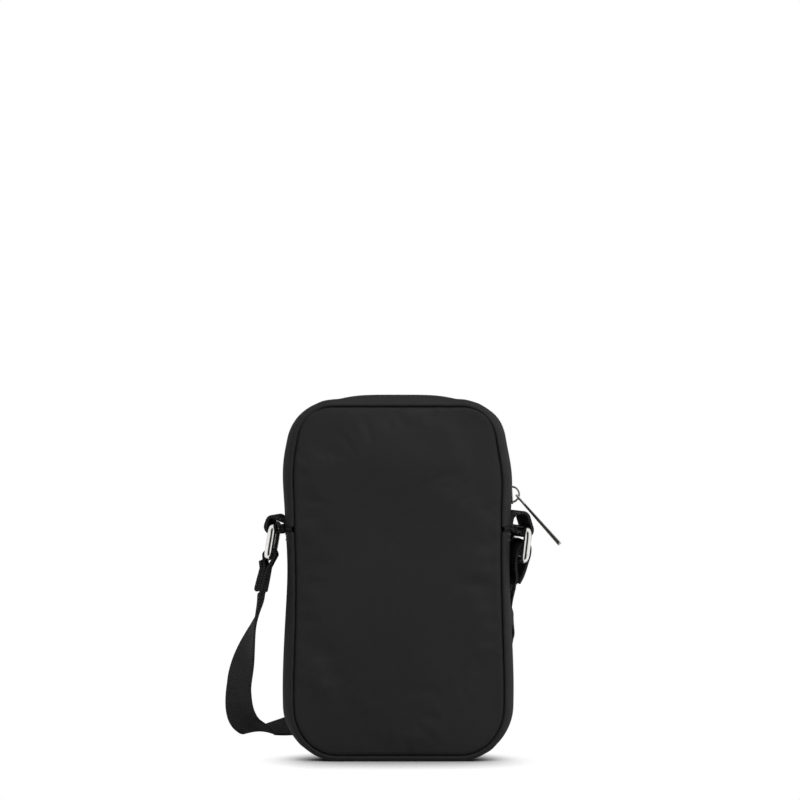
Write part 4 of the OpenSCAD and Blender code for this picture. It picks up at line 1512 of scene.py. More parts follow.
@dataclass
class Stitching:
    """Rows of thread across each side of the gusset, under the tabs."""

    body: Body
    pitch: float = 3.1 * MM
    length: float = 2.3 * MM
    thread: float = 0.5 * MM
    drops: tuple[float, float] = (2.9 * MM, 5.7 * MM)
    in_row: int = 9

    def stitch(self, side: Side, depth: float, height: float) -> Patch:
        """Makes one stitch: a thread that rises from the cloth, runs on it and dips again.

        Args:
            side: Left or right.
            depth: Its place along Y.
            height: Its height above the side seam.

        Returns:
            The closed surface.
        """
        share = np.linspace(-1, 1, 9)
        y = depth + share * self.length / 2
        shape = self.body.shape
        out = shape.skin(y) + self.thread * (0.35 - 0.95 * share**4)
        x = side.value * (shape.half_w - abs(height) * math.sin(shape.lower_lean) + out)
        path = beside(x, y, shape.seam + height)
        return swept(path, UPWARDS, Section.wire(self.thread, 8)).moved(self.body.slump.settle)

    def build(self) -> None:
        """Builds the rows on both sides."""
        depths = (np.arange(self.in_row) - self.in_row // 2) * self.pitch
        patches = [self.stitch(side, depth, -drop)
                   for side in Side for drop in self.drops for depth in depths]
        settle_on(piece("side_stitch_thread", patches), THREAD, "pouch", "side_stitches")


@dataclass
class Zip:
    """The coil zip: strips, tapes, the two halves of the coil, stops, slider and puller."""

    body: Body
    strip: float = 0.6 * MM
    strip_edge: float = 6.2 * MM
    strip_lip: float = math.radians(100)
    strip_tuck: float = 1.3 * MM
    wobble: float = 0.15 * MM
    tape_drop: float = 0.9 * MM
    tape: float = 0.5 * MM
    tape_reach: float = 9 * MM
    coil_w: float = 2.3 * MM
    coil_h: float = 1.5 * MM
    coil_wire: float = 0.62 * MM
    coil_pitch: float = 1.3 * MM
    coil_clear: float = 0.05 * MM
    slit: float = 1.4 * MM
    stop_l: float = 2.3 * MM
    stop_w: float = 4.4 * MM
    stop_up: float = 4.4 * MM
    rise: float = 16.3 * MM
    length: float = 9.6 * MM
    width: float = 8.8 * MM
    sheet: float = 0.8 * MM
    slider_r: float = 2.2 * MM
    slider_clear: float = 0.2 * MM
    bridge_r: float = 4.3 * MM
    bridge_t: float = 1 * MM
    bridge_w: float = 2 * MM
    puller_l: float = 32.4 * MM
    puller_w: float = 4.4 * MM
    puller_t: float = 1.2 * MM
    puller_end_t: float = 2 * MM
    puller_end_l: float = 1.6 * MM
    puller_rest: float = math.radians(41.6)
    eye_l: float = 5 * MM
    eye_wire: float = 1.15 * MM

    def cloths(self) -> None:
        """Builds the nylon strips and the woven tapes on either side of the coil."""
        body, shape = self.body, self.body.shape
        outer = shape.stations(Half.UPPER, 1.6 * MM, body.step)
        inner = shape.stations(Half.UPPER, 3 * MM, body.step)
        curve = cloth_curve(shape, self.strip_edge, body.rim, 0, self.strip_lip, body.lip, self.strip_tuck,
                            body.fine, body.tuck)
        depth = np.linspace(0.5 * self.slit, self.tape_reach, 14)
        line = beside(shape.skin(depth, self.tape_drop), depth)
        for face in Face:
            strip = body.band(outer, curve, self.strip, face, self.wobble)
            settle_on(piece("zip_strip_cloth_" + face.label, [strip]), NYLON, "pouch",
                      "zip_strip_" + face.label)
            tape = body.band(inner, line, self.tape, face, start=depth[0])
            settle_on(piece("zip_tape_woven_" + face.label, [tape]), ZIP_TAPE, "pouch",
                      "zip_tape_" + face.label)

    def coil(self, face: Face) -> Patch:
        """Makes half of the coil: a wire that winds round a flattened tube along the zip.

        Along the run its place across is the tube's middle plus its half width times the cosine
        of the turn, and its place out is the middle plus the half height times the sine.

        Args:
            face: The side of the zip that it is sewn to.

        Returns:
            The closed surface.
        """
        st = self.body.shape.stations(Half.UPPER, 6 * MM, self.coil_pitch / 14)
        turn = FULL_TURN * st.run / self.coil_pitch + (math.pi if face is Face.BACK else 0)
        half_w, half_h = (self.coil_w + 0.3 * MM - self.coil_wire) / 2, (self.coil_h - self.coil_wire) / 2
        depth = self.coil_w / 2 + self.coil_clear + half_w * np.cos(turn)
        out = self.coil_h / 2 - self.tape_drop + self.coil_clear + half_h * np.sin(turn)
        path = at_depth(st.place + out[:, None] * facing(st.angle), face.value * depth)
        side = at_depth(facing(st.angle + math.pi / 2))
        return swept(path, side, Section.wire(self.coil_wire, 6)).moved(self.body.slump.settle)

    def carried(self, rise: float) -> Axes:
        """Works out the zip's axes where the slider sits, moved out with the cloth.

        Args:
            rise: Distance above the side seam, along the zip.

        Returns:
            The axes.
        """
        axes = self.body.shape.zip_axes(rise)
        home = self.body.shape.zip_axes(self.rise).origin
        return Axes(axes.origin + self.body.slump.settle(home) - home, axes.x, axes.y, axes.z)

    def slider(self) -> None:
        """Builds the slider: two rounded plates, rolled side flanges, a neck and the bridge."""
        axes = self.carried(self.rise)
        flat = Axes(axes.origin, axes.y, axes.z, axes.x)
        low = self.coil_h - self.tape_drop + self.slider_clear
        under = -self.tape_drop - self.tape - self.slider_clear
        outline = rounded_box(self.length, self.width, self.slider_r)
        waist = 1 - 0.16 * ease((-outline[:, :1] / self.length) + 0.2)
        outline = outline * np.hstack([np.ones_like(waist), waist])
        patches = [plate(outline, low, low + self.sheet, 0.3 * MM, flat),
                   plate(outline, under - self.sheet, under, 0.3 * MM, flat)]
        for side in Side:
            wall = rounded_box(self.length * 0.72, self.sheet, 0.35 * MM)
            wall = wall + [self.length * 0.08, side.value * (self.width / 2 - self.sheet * 0.62)]
            patches.append(plate(wall, -self.tape_drop + 0.25 * MM, low + self.sheet * 0.5, 0.1 * MM, flat))
        neck = rounded_box(self.length / 4, self.sheet, 0.3 * MM) - [self.length * 0.36, 0]
        patches.append(plate(neck, under - self.sheet / 2, low + self.sheet / 2, 0.05 * MM, flat))
        settle_on(piece("zip_slider_cast", patches), POLISHED, "zip_slider", "zip_slider_body")
        self.bridge(axes, low + self.sheet)
        leaf = rounded_box(self.bridge_r, self.bridge_w * 0.9, 0.4 * MM)
        spring = plate(leaf, low + self.sheet + 0.05 * MM, low + self.sheet + 0.25 * MM, 0.05 * MM, flat)
        settle_on(piece("zip_lock_leaf", [spring]), SATIN, "zip_slider", "zip_lock_spring")

    def bridge(self, axes: Axes, foot: float) -> None:
        """Builds the arch that the puller hangs in.

        Args:
            axes: The zip's axes at the slider.
            foot: Height of the upper plate's face.
        """
        centre = foot + 0.1 * MM - self.bridge_t / 2
        reach = math.pi / 2 - 0.4 * math.asin(self.bridge_t / 2 / self.bridge_r)
        turn = np.linspace(-reach, reach, 40)
        r = self.bridge_r - self.bridge_t / 2
        arch = beside(np.maximum(centre + r * np.cos(turn), foot + 0.02 * MM), r * np.sin(turn), 0.0)
        bridge = swept(axes.put(arch), axes.z, Section.bar(self.bridge_w, self.bridge_t, 0.35 * MM))
        settle_on(piece("zip_slider_arch", [bridge]), POLISHED, "zip_slider", "zip_slider_bridge")

    def puller(self) -> None:
        """Builds the slim bar with its eye, leaning out over the tab."""
        hung = self.carried(self.rise - 0.19 * self.bridge_r)
        out = self.coil_h - self.tape_drop + 0.3 * MM + self.sheet - self.bridge_t / 2 + 0.57 * self.bridge_r
        s, c = math.sin(self.puller_rest), math.cos(self.puller_rest)
        axes = Axes(hung.origin + out * hung.x, np.array([c, 0, s]), np.array([s, 0, -c]), -BACKWARDS)
        tip = self.puller_l - self.puller_end_l
        run = np.r_[np.linspace(self.eye_l, tip, 30),
                    tip + self.puller_end_l * np.sin(np.linspace(0, math.pi / 2, 9)[1:])]
        share = (run - self.eye_l) / (self.puller_l - self.eye_l)
        thick = (self.puller_t + (self.puller_end_t - self.puller_t) * share) / self.puller_end_t
        left = np.clip((self.puller_l - run) / self.puller_end_l, 0, 1)
        wide = (1 - 0.45 * (1 - np.sqrt(np.clip(1 - (1 - left) ** 2, 0, 1)))) * (0.86 + 0.14 * share)
        section = Section.bar(self.puller_w, self.puller_end_t, 0.4 * MM)
        bar = swept(axes.put(beside(0.0, run, 0.0)), axes.z, section, wide=wide, thick=thick)
        x, y, corner = (self.puller_w - self.eye_wire) / 2, self.eye_l + 0.9 * MM, 0.45 * MM
        half = np.array([[0, y, x * 0.8], [0, y * 0.8, x], [0, corner, x], [0, 0.1 * MM, x - 0.3 * MM],
                         [0, 0, x - 2 * corner]])
        loop, _ = even(np.vstack([half, half[::-1] * [1, 1, -1]]), 0.15 * MM)
        ring = swept(axes.put(loop), axes.x, Section.wire(self.eye_wire, 12))
        settle_on(piece("zip_puller_bar", [bar, ring]), SATIN, "puller", "zip_puller")

    def stops(self) -> list[Patch]:
        """Makes the crimped stop at each end of the coil.

        Returns:
            Two closed surfaces.
        """
        patches = []
        axes = self.body.shape.zip_axes(self.stop_up)
        outline = rounded_box(self.stop_l, self.stop_w, 0.5 * MM)
        for side in Side:
            mirror = np.array([side.value, 1, 1])
            flat = Axes(axes.origin * mirror, axes.y * mirror, axes.z, axes.x * mirror)
            stop = plate(outline, -self.tape_drop + self.coil_clear, 0.62 * MM, 0.3 * MM, flat)
            patches.append(stop.moved(self.body.slump.settle))
        return patches

    def build(self) -> None:
        """Builds and dresses the whole zip."""
        self.cloths()
        for face in Face:
            settle_on(piece("zip_coil_wire_" + face.label, [self.coil(face)]), COIL, "pouch",
                      "zip_coil_" + face.label)
        settle_on(piece("zip_end_stop", self.stops()), SATIN, "pouch", "zip_end_stops")
        self.slider()
        self.puller()


@dataclass
class Hanger:
    """One side's hardware: the tab of webbing, its ring, and the strap's fold round the ring.

    The ring's upper bar stands bar_out and bar_up from the side seam, and the tab's slack bulges
    from there. All angles are in radians: the ring leans out, the fold leans on its own, ring and
    tab turn about the vertical, and the fold twists further as it falls.
    """

    body: Body
    side: Side
    hem: bool
    bar_out: float
    bar_up: float
    bulge_r: float
    bulge_out: float
    bulge_up: float
    root_up: float
    root_r: float
    fold_l: float
    lean: float
    fold_lean: float
    yaw: float
    tab_yaw: float
    twist: float
    tab_w: float = 15 * MM
    tab_t: float = 1.6 * MM
    root: float = 4 * MM
    wire: float = 4 * MM
    ring_h: float = 18.9 * MM
    ring_w: float = 25 * MM
    corner_r: float = 3.6 * MM
    play: float = 0.15 * MM
    fine: float = 0.4 * MM
    loop: tuple[tuple[float, float], ...] = (
        (-0.8, -11.3), (-1.9, -8.0), (-2.7, -3.8), (-3.0, 0.0), (-3.1, 4.6), (-2.1, 8.0), (0, 9.5),
        (2.2, 7.8), (3.2, 4.0), (3.1, 0), (2.3, -4.5), (1.1, -8.6), (0.75, -12.0),
    )

    @property
    def bar(self) -> Array:
        """Middle of the ring's upper bar, as x and z."""
        shape = self.body.shape
        return np.array([self.side.value * (shape.half_w + self.bar_out), shape.seam + self.bar_up])

    @property
    def down(self) -> Array:
        """The way from the ring's upper bar to its lower bar, as x and z."""
        return -np.array([math.sin(self.lean), math.cos(self.lean)])

    @property
    def low_bar(self) -> Array:
        """Middle of the ring's lower bar."""
        return at_depth(self.bar + (self.ring_h - self.wire) * self.down)

    @property
    def way(self) -> Array:
        """The way in which the strap leaves its fold."""
        return -np.array([math.sin(self.fold_lean), 0, math.cos(self.fold_lean)])

    @property
    def fold_end(self) -> Array:
        """Where the strap leaves its fold."""
        return self.low_bar + (self.fold_l + 0.3 * MM) * self.way

    @property
    def fold_side(self) -> Array:
        """The way across the strap, towards the camera, where it leaves its fold."""
        return rolled(-BACKWARDS, self.way, self.turn_at(self.fold_l))

    def turn_at(self, down: Array | float) -> Array | float:
        """Returns the angle by which the fold is turned at a distance under the ring's lower bar."""
        return -self.side.value * (self.yaw + self.twist * ease(down / self.fold_l))

    def turned(self, points: Array, angle: Array | float) -> Array:
        """Returns places turned by an angle about the vertical through the ring's upper bar."""
        x, y, c, s = points[..., 0] - self.bar[0], points[..., 1], np.cos(angle), np.sin(angle)
        return beside(self.bar[0] + x * c - y * s, x * s + y * c, points[..., 2])

    def tab_turned(self, points: Array) -> Array:
        """Turns the tab's near end out, not at all in the side seam and wholly at the bar.

        Args:
            points: Places on the tab.

        Returns:
            The turned places.
        """
        half_w = self.body.shape.half_w
        out = self.side.value * points[..., 0] - half_w
        share = ease((out + 1 * MM) / (abs(self.bar[0]) - half_w - 1 * MM))
        return self.turned(points, self.side.value * self.tab_yaw * share)

    def twisted(self, points: Array) -> Array:
        """Returns places turned about the fold's own length, by the yaw at the bar and more below."""
        away = points - self.low_bar
        return self.low_bar + rolled(away, self.way, self.turn_at(away @ self.way)[..., None])

    def tab(self) -> Thing:
        """Makes the loop of webbing: a belt round the bar, its bulge and its root in the seam.

        Returns:
            The piece, with the two plies that are sewn into the seam.
        """
        shape, sign = self.body.shape, self.side.value
        bulge = self.bar + [sign * self.bulge_out, self.bulge_up]
        root = np.array([sign * (shape.half_w + 0.4 * MM), shape.seam + self.root_up])
        eye = self.wire / 2 + self.play + self.tab_t / 2
        ring = belt(np.stack([self.bar, bulge, root]),
                    np.array([eye, self.bulge_r - self.tab_t / 2, self.root_r]), 0.45 * MM)
        section = Section.strap(self.tab_w, self.tab_t)
        parts = [swept(at_depth(ring), BACKWARDS, section, ring=True)]
        x = sign * np.linspace(shape.half_w - self.root - 0.8 * MM, shape.half_w + 1.2 * MM, 14)
        for level in (-0.5, 0.5):
            parts.append(swept(beside(x, 0.0, shape.seam + level * self.tab_t), BACKWARDS, section))
        return piece("tab_webbing_" + self.side.label, [part.moved(self.tab_turned) for part in parts])

    def ring(self) -> Thing:
        """Makes the ring of round wire with its four round corners.

        Returns:
            The piece.
        """
        drop = self.ring_h - self.wire
        outline, _ = even(closed(rounded_box(self.ring_w - self.wire, drop, self.corner_r, 14)), 0.5 * MM)
        path = at_depth(self.bar - (outline[:-1, 1:] - drop / 2) * self.down, outline[:-1, 0])
        side = np.array([-self.down[1], 0, self.down[0]])
        wire = swept(path, side, Section.wire(self.wire, 28), ring=True)
        yawed = Patch(self.turned(wire.points, self.side.value * self.yaw), wire.flat, ring=True)
        return piece("ring_wire_" + self.side.label, [yawed])

    def hemmed(self) -> Array:
        """Draws a fold whose outer ply turns up once more in a half circle, as a sewn end does.

        Returns:
            Its line, as the distance towards the pouch and the height over the ring's lower bar.
        """
        ply, length, bend = 0.56 * STRAP_T, self.fold_l, 0.54 * STRAP_T
        r = self.wire / 2 + self.play + STRAP_T / 2
        under = [-ply - bend, -length + 1.5 * MM] + bend * facing(np.linspace(math.pi, FULL_TURN, 9))
        return even(np.vstack([
            [[-r - 1.2 * bend, -3.2 * MM], [-ply - 2.2 * bend, -0.36 * length]], under,
            [[-1.05 * ply, -0.34 * length]], r * facing(np.radians(np.linspace(172, 8, 15))),
            [[1.05 * ply, -0.34 * length], [ply, -length]],
        ]), self.fine)[0]

    def fold(self) -> Thing:
        """Makes the strap's fold: up its outer side, over the ring's lower bar and down again.

        Returns:
            The piece. Without a hem its loop is slack and stands up above the bar.
        """
        line = self.hemmed() if self.hem else through(np.array(self.loop) * MM, self.fine)
        x, z = -line[:, 0] * self.side.value, line[:, 1]
        out = np.array([-self.way[2], 0, self.way[0]])
        place = self.low_bar + x[:, None] * out - z[:, None] * self.way
        webbing = swept(place, BACKWARDS, Section.strap(STRAP_W, STRAP_T))
        return piece("strap_fold_webbing_" + self.side.label, [webbing.moved(self.twisted)])

    def build(self) -> None:
        """Builds and dresses the hardware of one side."""
        label = self.side.label
        settle_on(self.tab(), WEBBING, "pouch", "tab_" + label)
        settle_on(self.ring(), POLISHED, label + "_ring", "ring_" + label)
        settle_on(self.fold(), WEBBING, label + "_ring", "strap_fold_" + label)


@dataclass
class Strap:
    """The webbing from ring to ring: the drop, the coil behind the pouch, the rise and its end."""

    body: Body
    left: Hanger
    right: Hanger
    coil_r: float = 30 * MM
    coil_straight: float = 36 * MM
    coil_pitch: float = 3 * MM
    coil_gap: float = 8 * MM
    coil_shift: float = 5.5 * MM
    turns: int = 3
    gap: float = 0.02 * MM
    lead: float = 1.2 * MM
    air: float = 0.1 * MM
    adjuster_wire: float = 1.8 * MM
    adjuster_l: float = 15 * MM
    adjuster_w: float = 20 * MM
    step: float = 0.8 * MM
    soften: int = 13

    def ribbon(self, name: str, path: Array, side: Array) -> Thing:
        """Makes a stretch of webbing along a route.

        Args:
            name: Name of the piece.
            path: The route, which is spaced evenly first.
            side: The way across the webbing at each place, which is averaged along the route.

        Returns:
            The piece.
        """
        path, side = even(path, self.step, side)
        padded = np.pad(side, ((self.soften, self.soften), (0, 0)), mode="edge")
        window = np.full(2 * self.soften + 1, 1 / (2 * self.soften + 1))
        side = unit(np.stack([np.convolve(column, window, "valid") for column in padded.T], axis=1))
        return piece(name, [swept(path, side, Section.strap(STRAP_W, STRAP_T, 12, 3))])

    def coil_route(self) -> Array:
        """Works out a spiral of half circles and straights that stands on the strap's edge.

        Returns:
            Its places, from the drop's end to the rise's start.
        """
        middle = self.body.shape.half_d + self.body.crown + self.coil_gap + self.coil_r
        half = self.coil_straight / 2
        turn = np.arange(self.turns)[:, None]
        u = np.linspace(0, 1, 24)
        legs = []
        for start, x, part in ((90, half, 0), (270, -half, 1)):
            r = self.coil_r - self.coil_pitch * (turn + (part + u) / 2)
            legs.append([x, middle] + r[..., None] * facing(np.radians(start - 180 * u)))
        rows = np.stack(legs, axis=1).reshape(-1, 2)
        end_r = self.coil_r - self.coil_pitch * self.turns
        plane = np.vstack([[[-half, middle + self.coil_r]], rows, [[half / 2, middle + end_r]]])
        return beside(plane[:, 0] + self.coil_shift, plane[:, 1], STRAP_W / 2)

    def drop(self, coil_start: Array) -> tuple[Array, Array]:
        """Lays the left stretch, which falls, swings out and turns behind the pouch.

        Its keys are shares of the height of the fold's end, given one by one.

        Args:
            coil_start: Where the coil begins.

        Returns:
            The route, and the way across the webbing at each of its places.
        """
        start, h, half = self.left.fold_end, self.left.fold_end[2], self.body.shape.half_w
        bulge = np.array([-half - 0.298 * h, 0.257 * h, 0.39 * h])
        low = np.array([-half - 0.26 * h, 0.5 * h, 0.108 * h])
        foot = np.array([-half - 0.14 * h, coil_start[1] - self.coil_r + 0.06 * STRAP_W, 0.25 * STRAP_W])
        join = coil_start - [self.gap, 0, 0]
        leave, fall, dip = np.array([[-0.02, 0.02, -1], [-0.06, 0.31, -1], [0.55, 0.6, -0.58]]) * h
        sweep, right = np.array([[0.93, 0.41, 0], [1, 0, 0]]) * h
        dip = dip / np.linalg.norm(dip / h)
        path = joined([
            stretch(start + self.lead * self.left.way, bulge, 0.4 * leave, 0.43 * fall),
            stretch(bulge, low, 0.3 * fall, 0.3 * dip), stretch(low, foot, 0.28 * dip, 0.16 * sweep),
            stretch(foot, join - [self.lead, 0, 0], 0.5 * sweep, 0.85 * right),
        ])
        sides = [self.left.fold_side, *np.array([[0.87, -0.55, 0], [0.73, -0.33, 0.6], [0.03, -0.96, -0.26]]),
                 -UPWARDS]
        side = joined([turning(a, b) for a, b in zip(sides, sides[1:])])
        return np.vstack([start, path, join]), np.vstack([side[:1], side, side[-1:]])

    def build(self) -> None:
        """Builds the stretches; those that hang from the rings ride on no body."""
        coil = self.coil_route()
        webbing = self.ribbon("strap_coil_webbing", coil, np.broadcast_to(-UPWARDS, coil.shape))
        settle_on(webbing, WEBBING, "pouch", "strap_coil")
        path, side = self.drop(coil[0])
        fall = self.ribbon("strap_drop_webbing", path, side)
        settle_on(fall, WEBBING, "", "strap_drop_left")
        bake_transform(fall)
        Adjuster(self, coil[-1]).build()


@dataclass
class Adjuster:
    """The wire slider, the strap that threads it, and the end sewn round its middle bar."""

    strap: Strap
    coil_end: Array

    def __post_init__(self) -> None:
        """Works out where the adjuster hangs and how the strap lies on it."""
        s = self.strap
        self.rise_end = s.right.fold_end
        h, shape = self.rise_end[2], s.body.shape
        self.h = h
        self.place = np.array([shape.half_w - 0.07 * h, shape.half_d + 0.21 * h, 0.58 * h])
        self.way = unit(np.array([0.22, -0.62, 0.75]))
        self.side = unit(np.array([0, self.way[2], -self.way[1]]))
        self.face = np.cross(self.way, self.side)
        self.wire = s.adjuster_wire / 2
        self.ply = STRAP_T + 3 * s.air
        self.rail = s.adjuster_l / 2 - self.wire
        self.wrap = self.wire + 2 * s.air + STRAP_T / 2
        self.under = self.wrap + s.air

    def at(self, *spots: tuple[float, float]) -> Array:
        """Returns places beside the adjuster's middle, each given as along and out."""
        return self.place + np.array(spots) @ np.stack([self.way, self.face])

    def pair(self) -> tuple[Array, Array]:
        """Lays the shared route of the two plies between the adjuster and the ring.

        Returns:
            The route, and the way across the webbing at each of its places.
        """
        s, shape, h = self.strap, self.strap.body.shape, self.h
        shoulder = np.array([shape.half_w - 1.6 * MM, shape.half_d + 3 * MM, 0.84 * h])
        over, home = unit(np.array([0.12, -0.85, 0.45])), -s.right.way
        path = joined([
            stretch(self.at((s.adjuster_l, -self.under - self.ply))[0], shoulder, 0.2 * h * self.way,
                    0.2 * h * over),
            stretch(shoulder, self.rise_end - 2 * s.lead * home, 0.24 * h * over, 0.16 * h * home),
        ])
        path = np.vstack([path, self.rise_end - s.lead * home, self.rise_end])
        ahead = unit(np.gradient(path, axis=0))
        return path, unit(beside(0.0, ahead[:, 2], -ahead[:, 1]))

    def ply_route(self, share: float) -> Array:
        """Moves the pair's route a share of the way between its two plies.

        Args:
            share: 1 for the outer ply and -1 for the inner one.

        Returns:
            The ply's route. The plies close up towards the ring.
        """
        path, side = self.pair()
        face = np.cross(unit(np.gradient(path, axis=0)), side)
        close = 1 - 0.48 * ease(np.linspace(0, 1, len(path)))
        return path + face * share * self.ply * close[:, None]

    def rise(self) -> None:
        """Builds the stretch from the coil over the adjuster's bars to the right ring."""
        s, rail, wire, wrap, under = self.strap, self.rail, self.wire, self.wrap, self.under
        join = self.coil_end + [s.gap, 0, 0]
        first = stretch(join + [s.lead, 0, 0], self.at((-s.adjuster_l, -under))[0],
                        0.9 * self.h * np.array([1, 0.1, 0.15]), 0.6 * self.h * self.way, 2 * KEYED)
        over = self.ply_route(1)
        hump = self.at((-rail + wire / 2, -under), (-1.35 * wrap, 1.5 * wrap), (-wire, wrap + self.ply),
                       (wire, wrap + self.ply), (1.35 * wrap, 1.5 * wrap), (rail - wire / 2, -under))
        hump = through(np.vstack([first[-1:], hump, over[:1]]), 0.5 * MM)[1:-1]
        side = np.vstack([UPWARDS, turning(UPWARDS, self.side, 2 * KEYED),
                          np.broadcast_to(self.side, hump.shape), self.pair()[1]])
        rise = s.ribbon("strap_rise_webbing", np.vstack([join, first, hump, over]), side)
        settle_on(rise, WEBBING, "", "strap_rise_right")
        tuple(self.rise_end)
        tuple(self.place)
        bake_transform(rise)

    def back(self) -> None:
        """Builds the end that comes back from the right ring and is sewn round the middle bar."""
        s, rail, wrap, ply = self.strap, self.rail, self.wrap, self.ply
        under = self.ply_route(-1)[::-1]
        turn = np.radians(np.arange(0, 181, 15))
        bend = through(np.vstack([
            under[-1:], self.at((rail, -self.under - 2.2 * ply), (rail / 2, -wrap - 1.6 * ply)),
            self.at(*zip(-wrap * np.sin(turn), -wrap * np.cos(turn))),
            self.at((0.8 * wrap, 0.65 * wrap), (1.7 * wrap, -1.25 * wrap), (rail, -self.under - 1.1 * ply),
                    (s.adjuster_l, -self.under - ply)),
        ]), 0.4 * MM)[1:]
        side = np.vstack([self.pair()[1][::-1], np.broadcast_to(self.side, bend.shape)])
        back = s.ribbon("strap_return_webbing", np.vstack([under, bend]), side)
        settle_on(back, WEBBING, "", "strap_return_right")
        tuple(self.rise_end)
        tuple(self.place)
        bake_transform(back)

    def frame(self) -> None:
        """Builds the wire frame with its middle bar."""
        s = self.strap
        axes = Axes(self.place, self.side, self.way, self.face)
        outline = rounded_box(s.adjuster_w - s.adjuster_wire, s.adjuster_l - s.adjuster_wire, 1.4 * MM)
        outline = even(closed(outline), 0.4 * MM)[0][:-1]
        wire = Section.wire(s.adjuster_wire, 16)
        reach = s.adjuster_w / 2 - self.wire
        bar = axes.put(np.linspace([-reach, 0, 0], [reach, 0, 0], 20))
        patches = [swept(axes.put(np.pad(outline, ((0, 0), (0, 1)))), self.face, wire, ring=True),
                   swept(bar, self.face, wire)]
        settle_on(piece("strap_adjuster_wire", patches), POLISHED, "pouch", "strap_adjuster")

    def build(self) -> None:
        """Builds the rise, the returning end and the wire frame."""
        self.rise()
        self.back()
        self.frame()


@dataclass(frozen=True)
class Lamp:
    """A large soft lamp that polished metal doesn't mirror."""

    name: str
    place: Triple
    size: tuple[float, float]
    power: float

    def build(self, aim: Triple) -> None:
        """Hangs the lamp.

        Args:
            aim: The place that it points at.
        """
        data = bpy.data.lights.new(self.name, "AREA")
        data.shape, data.energy = "RECTANGLE", self.power
        data.size, data.size_y = self.size
        lamp = placed(self.name, data)
        lamp.location = self.place
        way = Vector(aim) - Vector(self.place)
        lamp.rotation_euler = way.to_track_quat("-Z", "Y").to_euler()
        lamp.visible_glossy = False


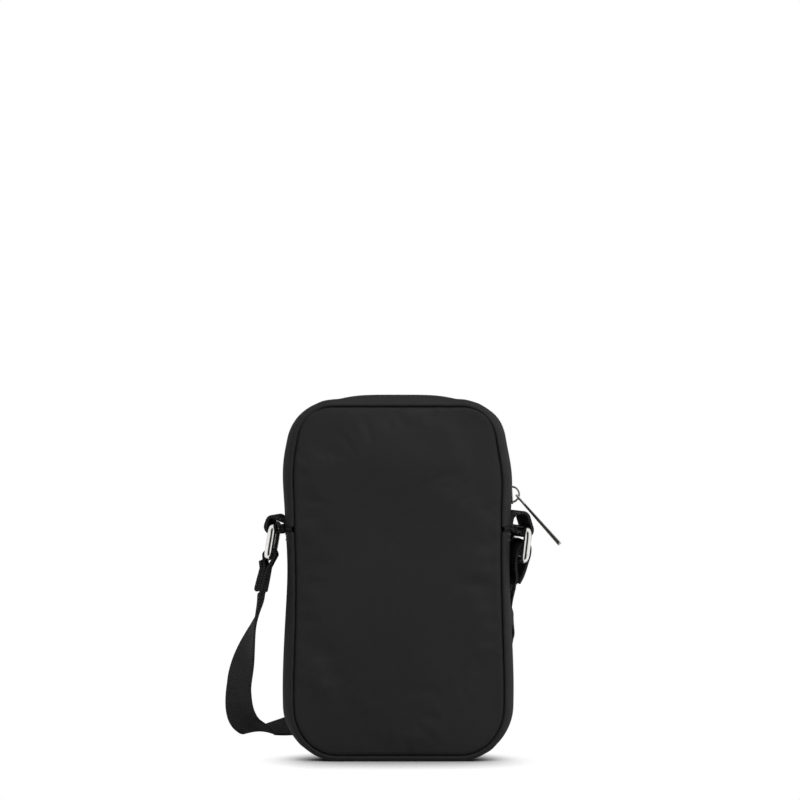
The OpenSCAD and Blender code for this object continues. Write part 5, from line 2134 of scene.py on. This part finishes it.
@dataclass
class Studio:
    """A white floor and backdrop, soft lamps and the photograph's level view."""

    eye: Triple = (1.22 * MM, -1017 * MM, 177.3 * MM)
    focal_px: float = 2042
    picture_px: float = 800
    sensor: float = 36.0
    floor_w: float = 12.0
    tone: float = 0.66
    lift: float = 0.08
    near: float = 48 * MM
    far: float = 80 * MM
    ahead: float = 30 * MM
    squeeze: float = 1.6
    # Reach and power of the painted contact shadow on the floor
    reach: float = 26 * MM
    contact: float = 1.4
    world: float = 0.24
    mirrored: float = 0.95
    mirrored_dark: float = 0.02
    aim: Triple = (0, 0, 90 * MM)
    lamps: tuple[Lamp, ...] = (
        Lamp("left", (-0.9, -0.15, 0.45), (0.9, 1.2), 1.6),
        Lamp("right", (0.9, -0.1, 0.5), (0.9, 1.2), 2.2),
        Lamp("top", (0.3, -0.45, 1.2), (0.9, 0.7), 16.0),
        Lamp("front", (0.7, -1.25, 1.0), (0.8, 0.8), 24.0),
        Lamp("back", (-0.5, 1.3, 1.0), (0.8, 0.8), 10.0),
    )

    def camera(self) -> None:
        """Sets a level camera that looks along +Y."""
        data = bpy.data.cameras.new("view")
        data.sensor_width = self.sensor
        data.lens = self.sensor * self.focal_px / self.picture_px
        data.clip_end = 50
        eye = placed("view", data)
        eye.location = self.eye
        eye.rotation_euler = (math.pi / 2, 0, 0)
        bpy.context.scene.camera = eye

    def room(self, w: Wiring) -> Socket:
        """Works out the brightness that a mirror finds: white all round, dark before and behind.

        Args:
            w: The wiring of the floor or the world.

        Returns:
            The brightness in the direction of the ray.
        """
        way = w.add("SeparateXYZ", {0: w.add("NewGeometry").outputs["Incoming"]})
        across = w.fade(w.math("ABSOLUTE", way.outputs[0]), 0.25, 0.7)
        ahead = w.fade(w.math("ABSOLUTE", way.outputs[1]), 0.2, 0.6)
        dark = w.math("MULTIPLY", ahead, w.math("SUBTRACT", 1.0, across))
        return w.math("MULTIPLY_ADD", dark, self.mirrored_dark - self.mirrored, self.mirrored)

    def floor(self) -> None:
        """Lays a pale floor, white to the camera, that keeps the object's shadow and adds a painted one."""
        r = self.floor_w / 2
        mesh = bpy.data.meshes.new("floor")
        mesh.from_pydata([(-r, -r, 0), (r, -r, 0), (r, r, 0), (-r, r, 0)], [], [(0, 1, 2, 3)])
        material = bpy.data.materials.new("pale floor")
        material.use_nodes = True
        self.floor_look(Wiring(material.node_tree))
        mesh.materials.append(material)
        placed("floor", mesh)

    def floor_look(self, w: Wiring) -> None:
        """Mixes what each kind of ray finds on the floor.

        Near the pouch the camera finds a lit surface, with painted shade where the pouch closes it in.
        Further off it finds plain white, and polished metal finds the room's brightness.

        Args:
            w: The floor's wiring.
        """
        shader, end = w.tree.nodes["Principled BSDF"], w.tree.nodes["Material Output"]
        w.feed(shader, {"Base Color": (self.tone, self.tone, self.tone, 1), "Roughness": 0.9,
                        "Specular IOR Level": 0.1})
        path = w.add("LightPath")
        seen = path.outputs["Is Camera Ray"]
        glows = [w.add("Emission", {"Color": (1, 1, 1, 1), "Strength": strength}).outputs[0]
                 for strength in (w.math("MULTIPLY", seen, self.lift), 0.0, 1.0, self.room(w))]
        lift, black, white, mirrored = glows
        lit = w.add("AddShader", {0: shader.outputs[0], 1: lift}).outputs[0]
        # Painted contact shadow: ambient occlusion mixes the floor towards black near the pouch.
        free = w.add("AmbientOcclusion", {"Distance": self.reach}).outputs["AO"]
        both = w.add("MixShader", {0: w.math("POWER", free, self.contact), 1: black, 2: lit}).outputs[0]
        spot = w.add("TexCoord").outputs["Object"]
        place = w.add("VectorMath", {0: spot, 1: (0, self.ahead, 0)}, operation="ADD")
        spread = w.add("VectorMath", {0: place.outputs[0], 1: (1, self.squeeze, 0)}, operation="MULTIPLY")
        away = w.add("VectorMath", {0: spread.outputs[0]}, operation="LENGTH").outputs["Value"]
        far = w.math("MULTIPLY", w.fade(away, self.near, self.far), seen)
        whole = w.add("MixShader", {0: far, 1: both, 2: white}).outputs[0]
        final = w.add("MixShader", {0: path.outputs["Is Glossy Ray"], 1: whole, 2: mirrored})
        w.feed(end, {"Surface": final.outputs[0]})

    def sky(self) -> None:
        """Sets a world that is white to the camera, even to cloth, and a room to polished metal."""
        world = bpy.data.worlds.new("studio")
        world.use_nodes = True
        bpy.context.scene.world = world
        w = Wiring(world.node_tree)
        path = w.add("LightPath")
        seen = w.math("MAXIMUM", path.outputs["Is Camera Ray"], path.outputs["Is Transmission Ray"])
        glossy = w.math("MULTIPLY", path.outputs["Is Glossy Ray"], self.room(w))
        plain = w.math("MULTIPLY", w.math("SUBTRACT", 1.0, path.outputs["Is Glossy Ray"]), self.world)
        strength = w.math("MAXIMUM", seen, w.math("ADD", glossy, plain))
        w.feed(w.tree.nodes["Background"], {"Color": (1, 1, 1, 1), "Strength": strength})

    def build(self) -> None:
        """Sets up the whole studio."""
        bpy.context.scene.view_settings.view_transform = "Standard"
        self.camera()
        self.floor()
        self.sky()
        for lamp in self.lamps:
            lamp.build(self.aim)


def hangers(body: Body) -> tuple[Hanger, Hanger]:
    """Places the hardware of both sides as it hangs in the photograph.

    Args:
        body: The case.

    Returns:
        The left side, where the strap's sewn end is, and the right side.
    """
    left = Hanger(
        body, Side.LEFT, hem=True,
        bar_out=4.6 * MM, bar_up=0.6 * MM, bulge_r=3.4 * MM, bulge_out=-0.5 * MM, bulge_up=2.4 * MM,
        root_up=0.6 * MM, root_r=2.6 * MM, fold_l=18.6 * MM, lean=math.radians(9.5),
        fold_lean=math.radians(13), yaw=math.radians(3.5), tab_yaw=math.radians(15), twist=math.radians(6),
    )
    right = Hanger(
        body, Side.RIGHT, hem=False,
        bar_out=5.3 * MM, bar_up=-1.1 * MM, bulge_r=4.2 * MM, bulge_out=-2.2 * MM, bulge_up=5.3 * MM,
        root_up=0.0, root_r=1.1 * MM, fold_l=12 * MM, lean=math.radians(7),
        fold_lean=math.radians(14), yaw=math.radians(16), tab_yaw=math.radians(22), twist=math.radians(5),
    )
    return left, right


def main() -> None:
    """Builds the studio and every sub-assembly in order."""
    logging.basicConfig(level=logging.INFO, format="%(name)s: %(message)s")
    Studio().build()
    body = Body()
    left, right = hangers(body)
    for part in (body, Stitching(body), Zip(body), left, right, Strap(body, left, right)):
        part.build()


if __name__ == "__main__":
    main()
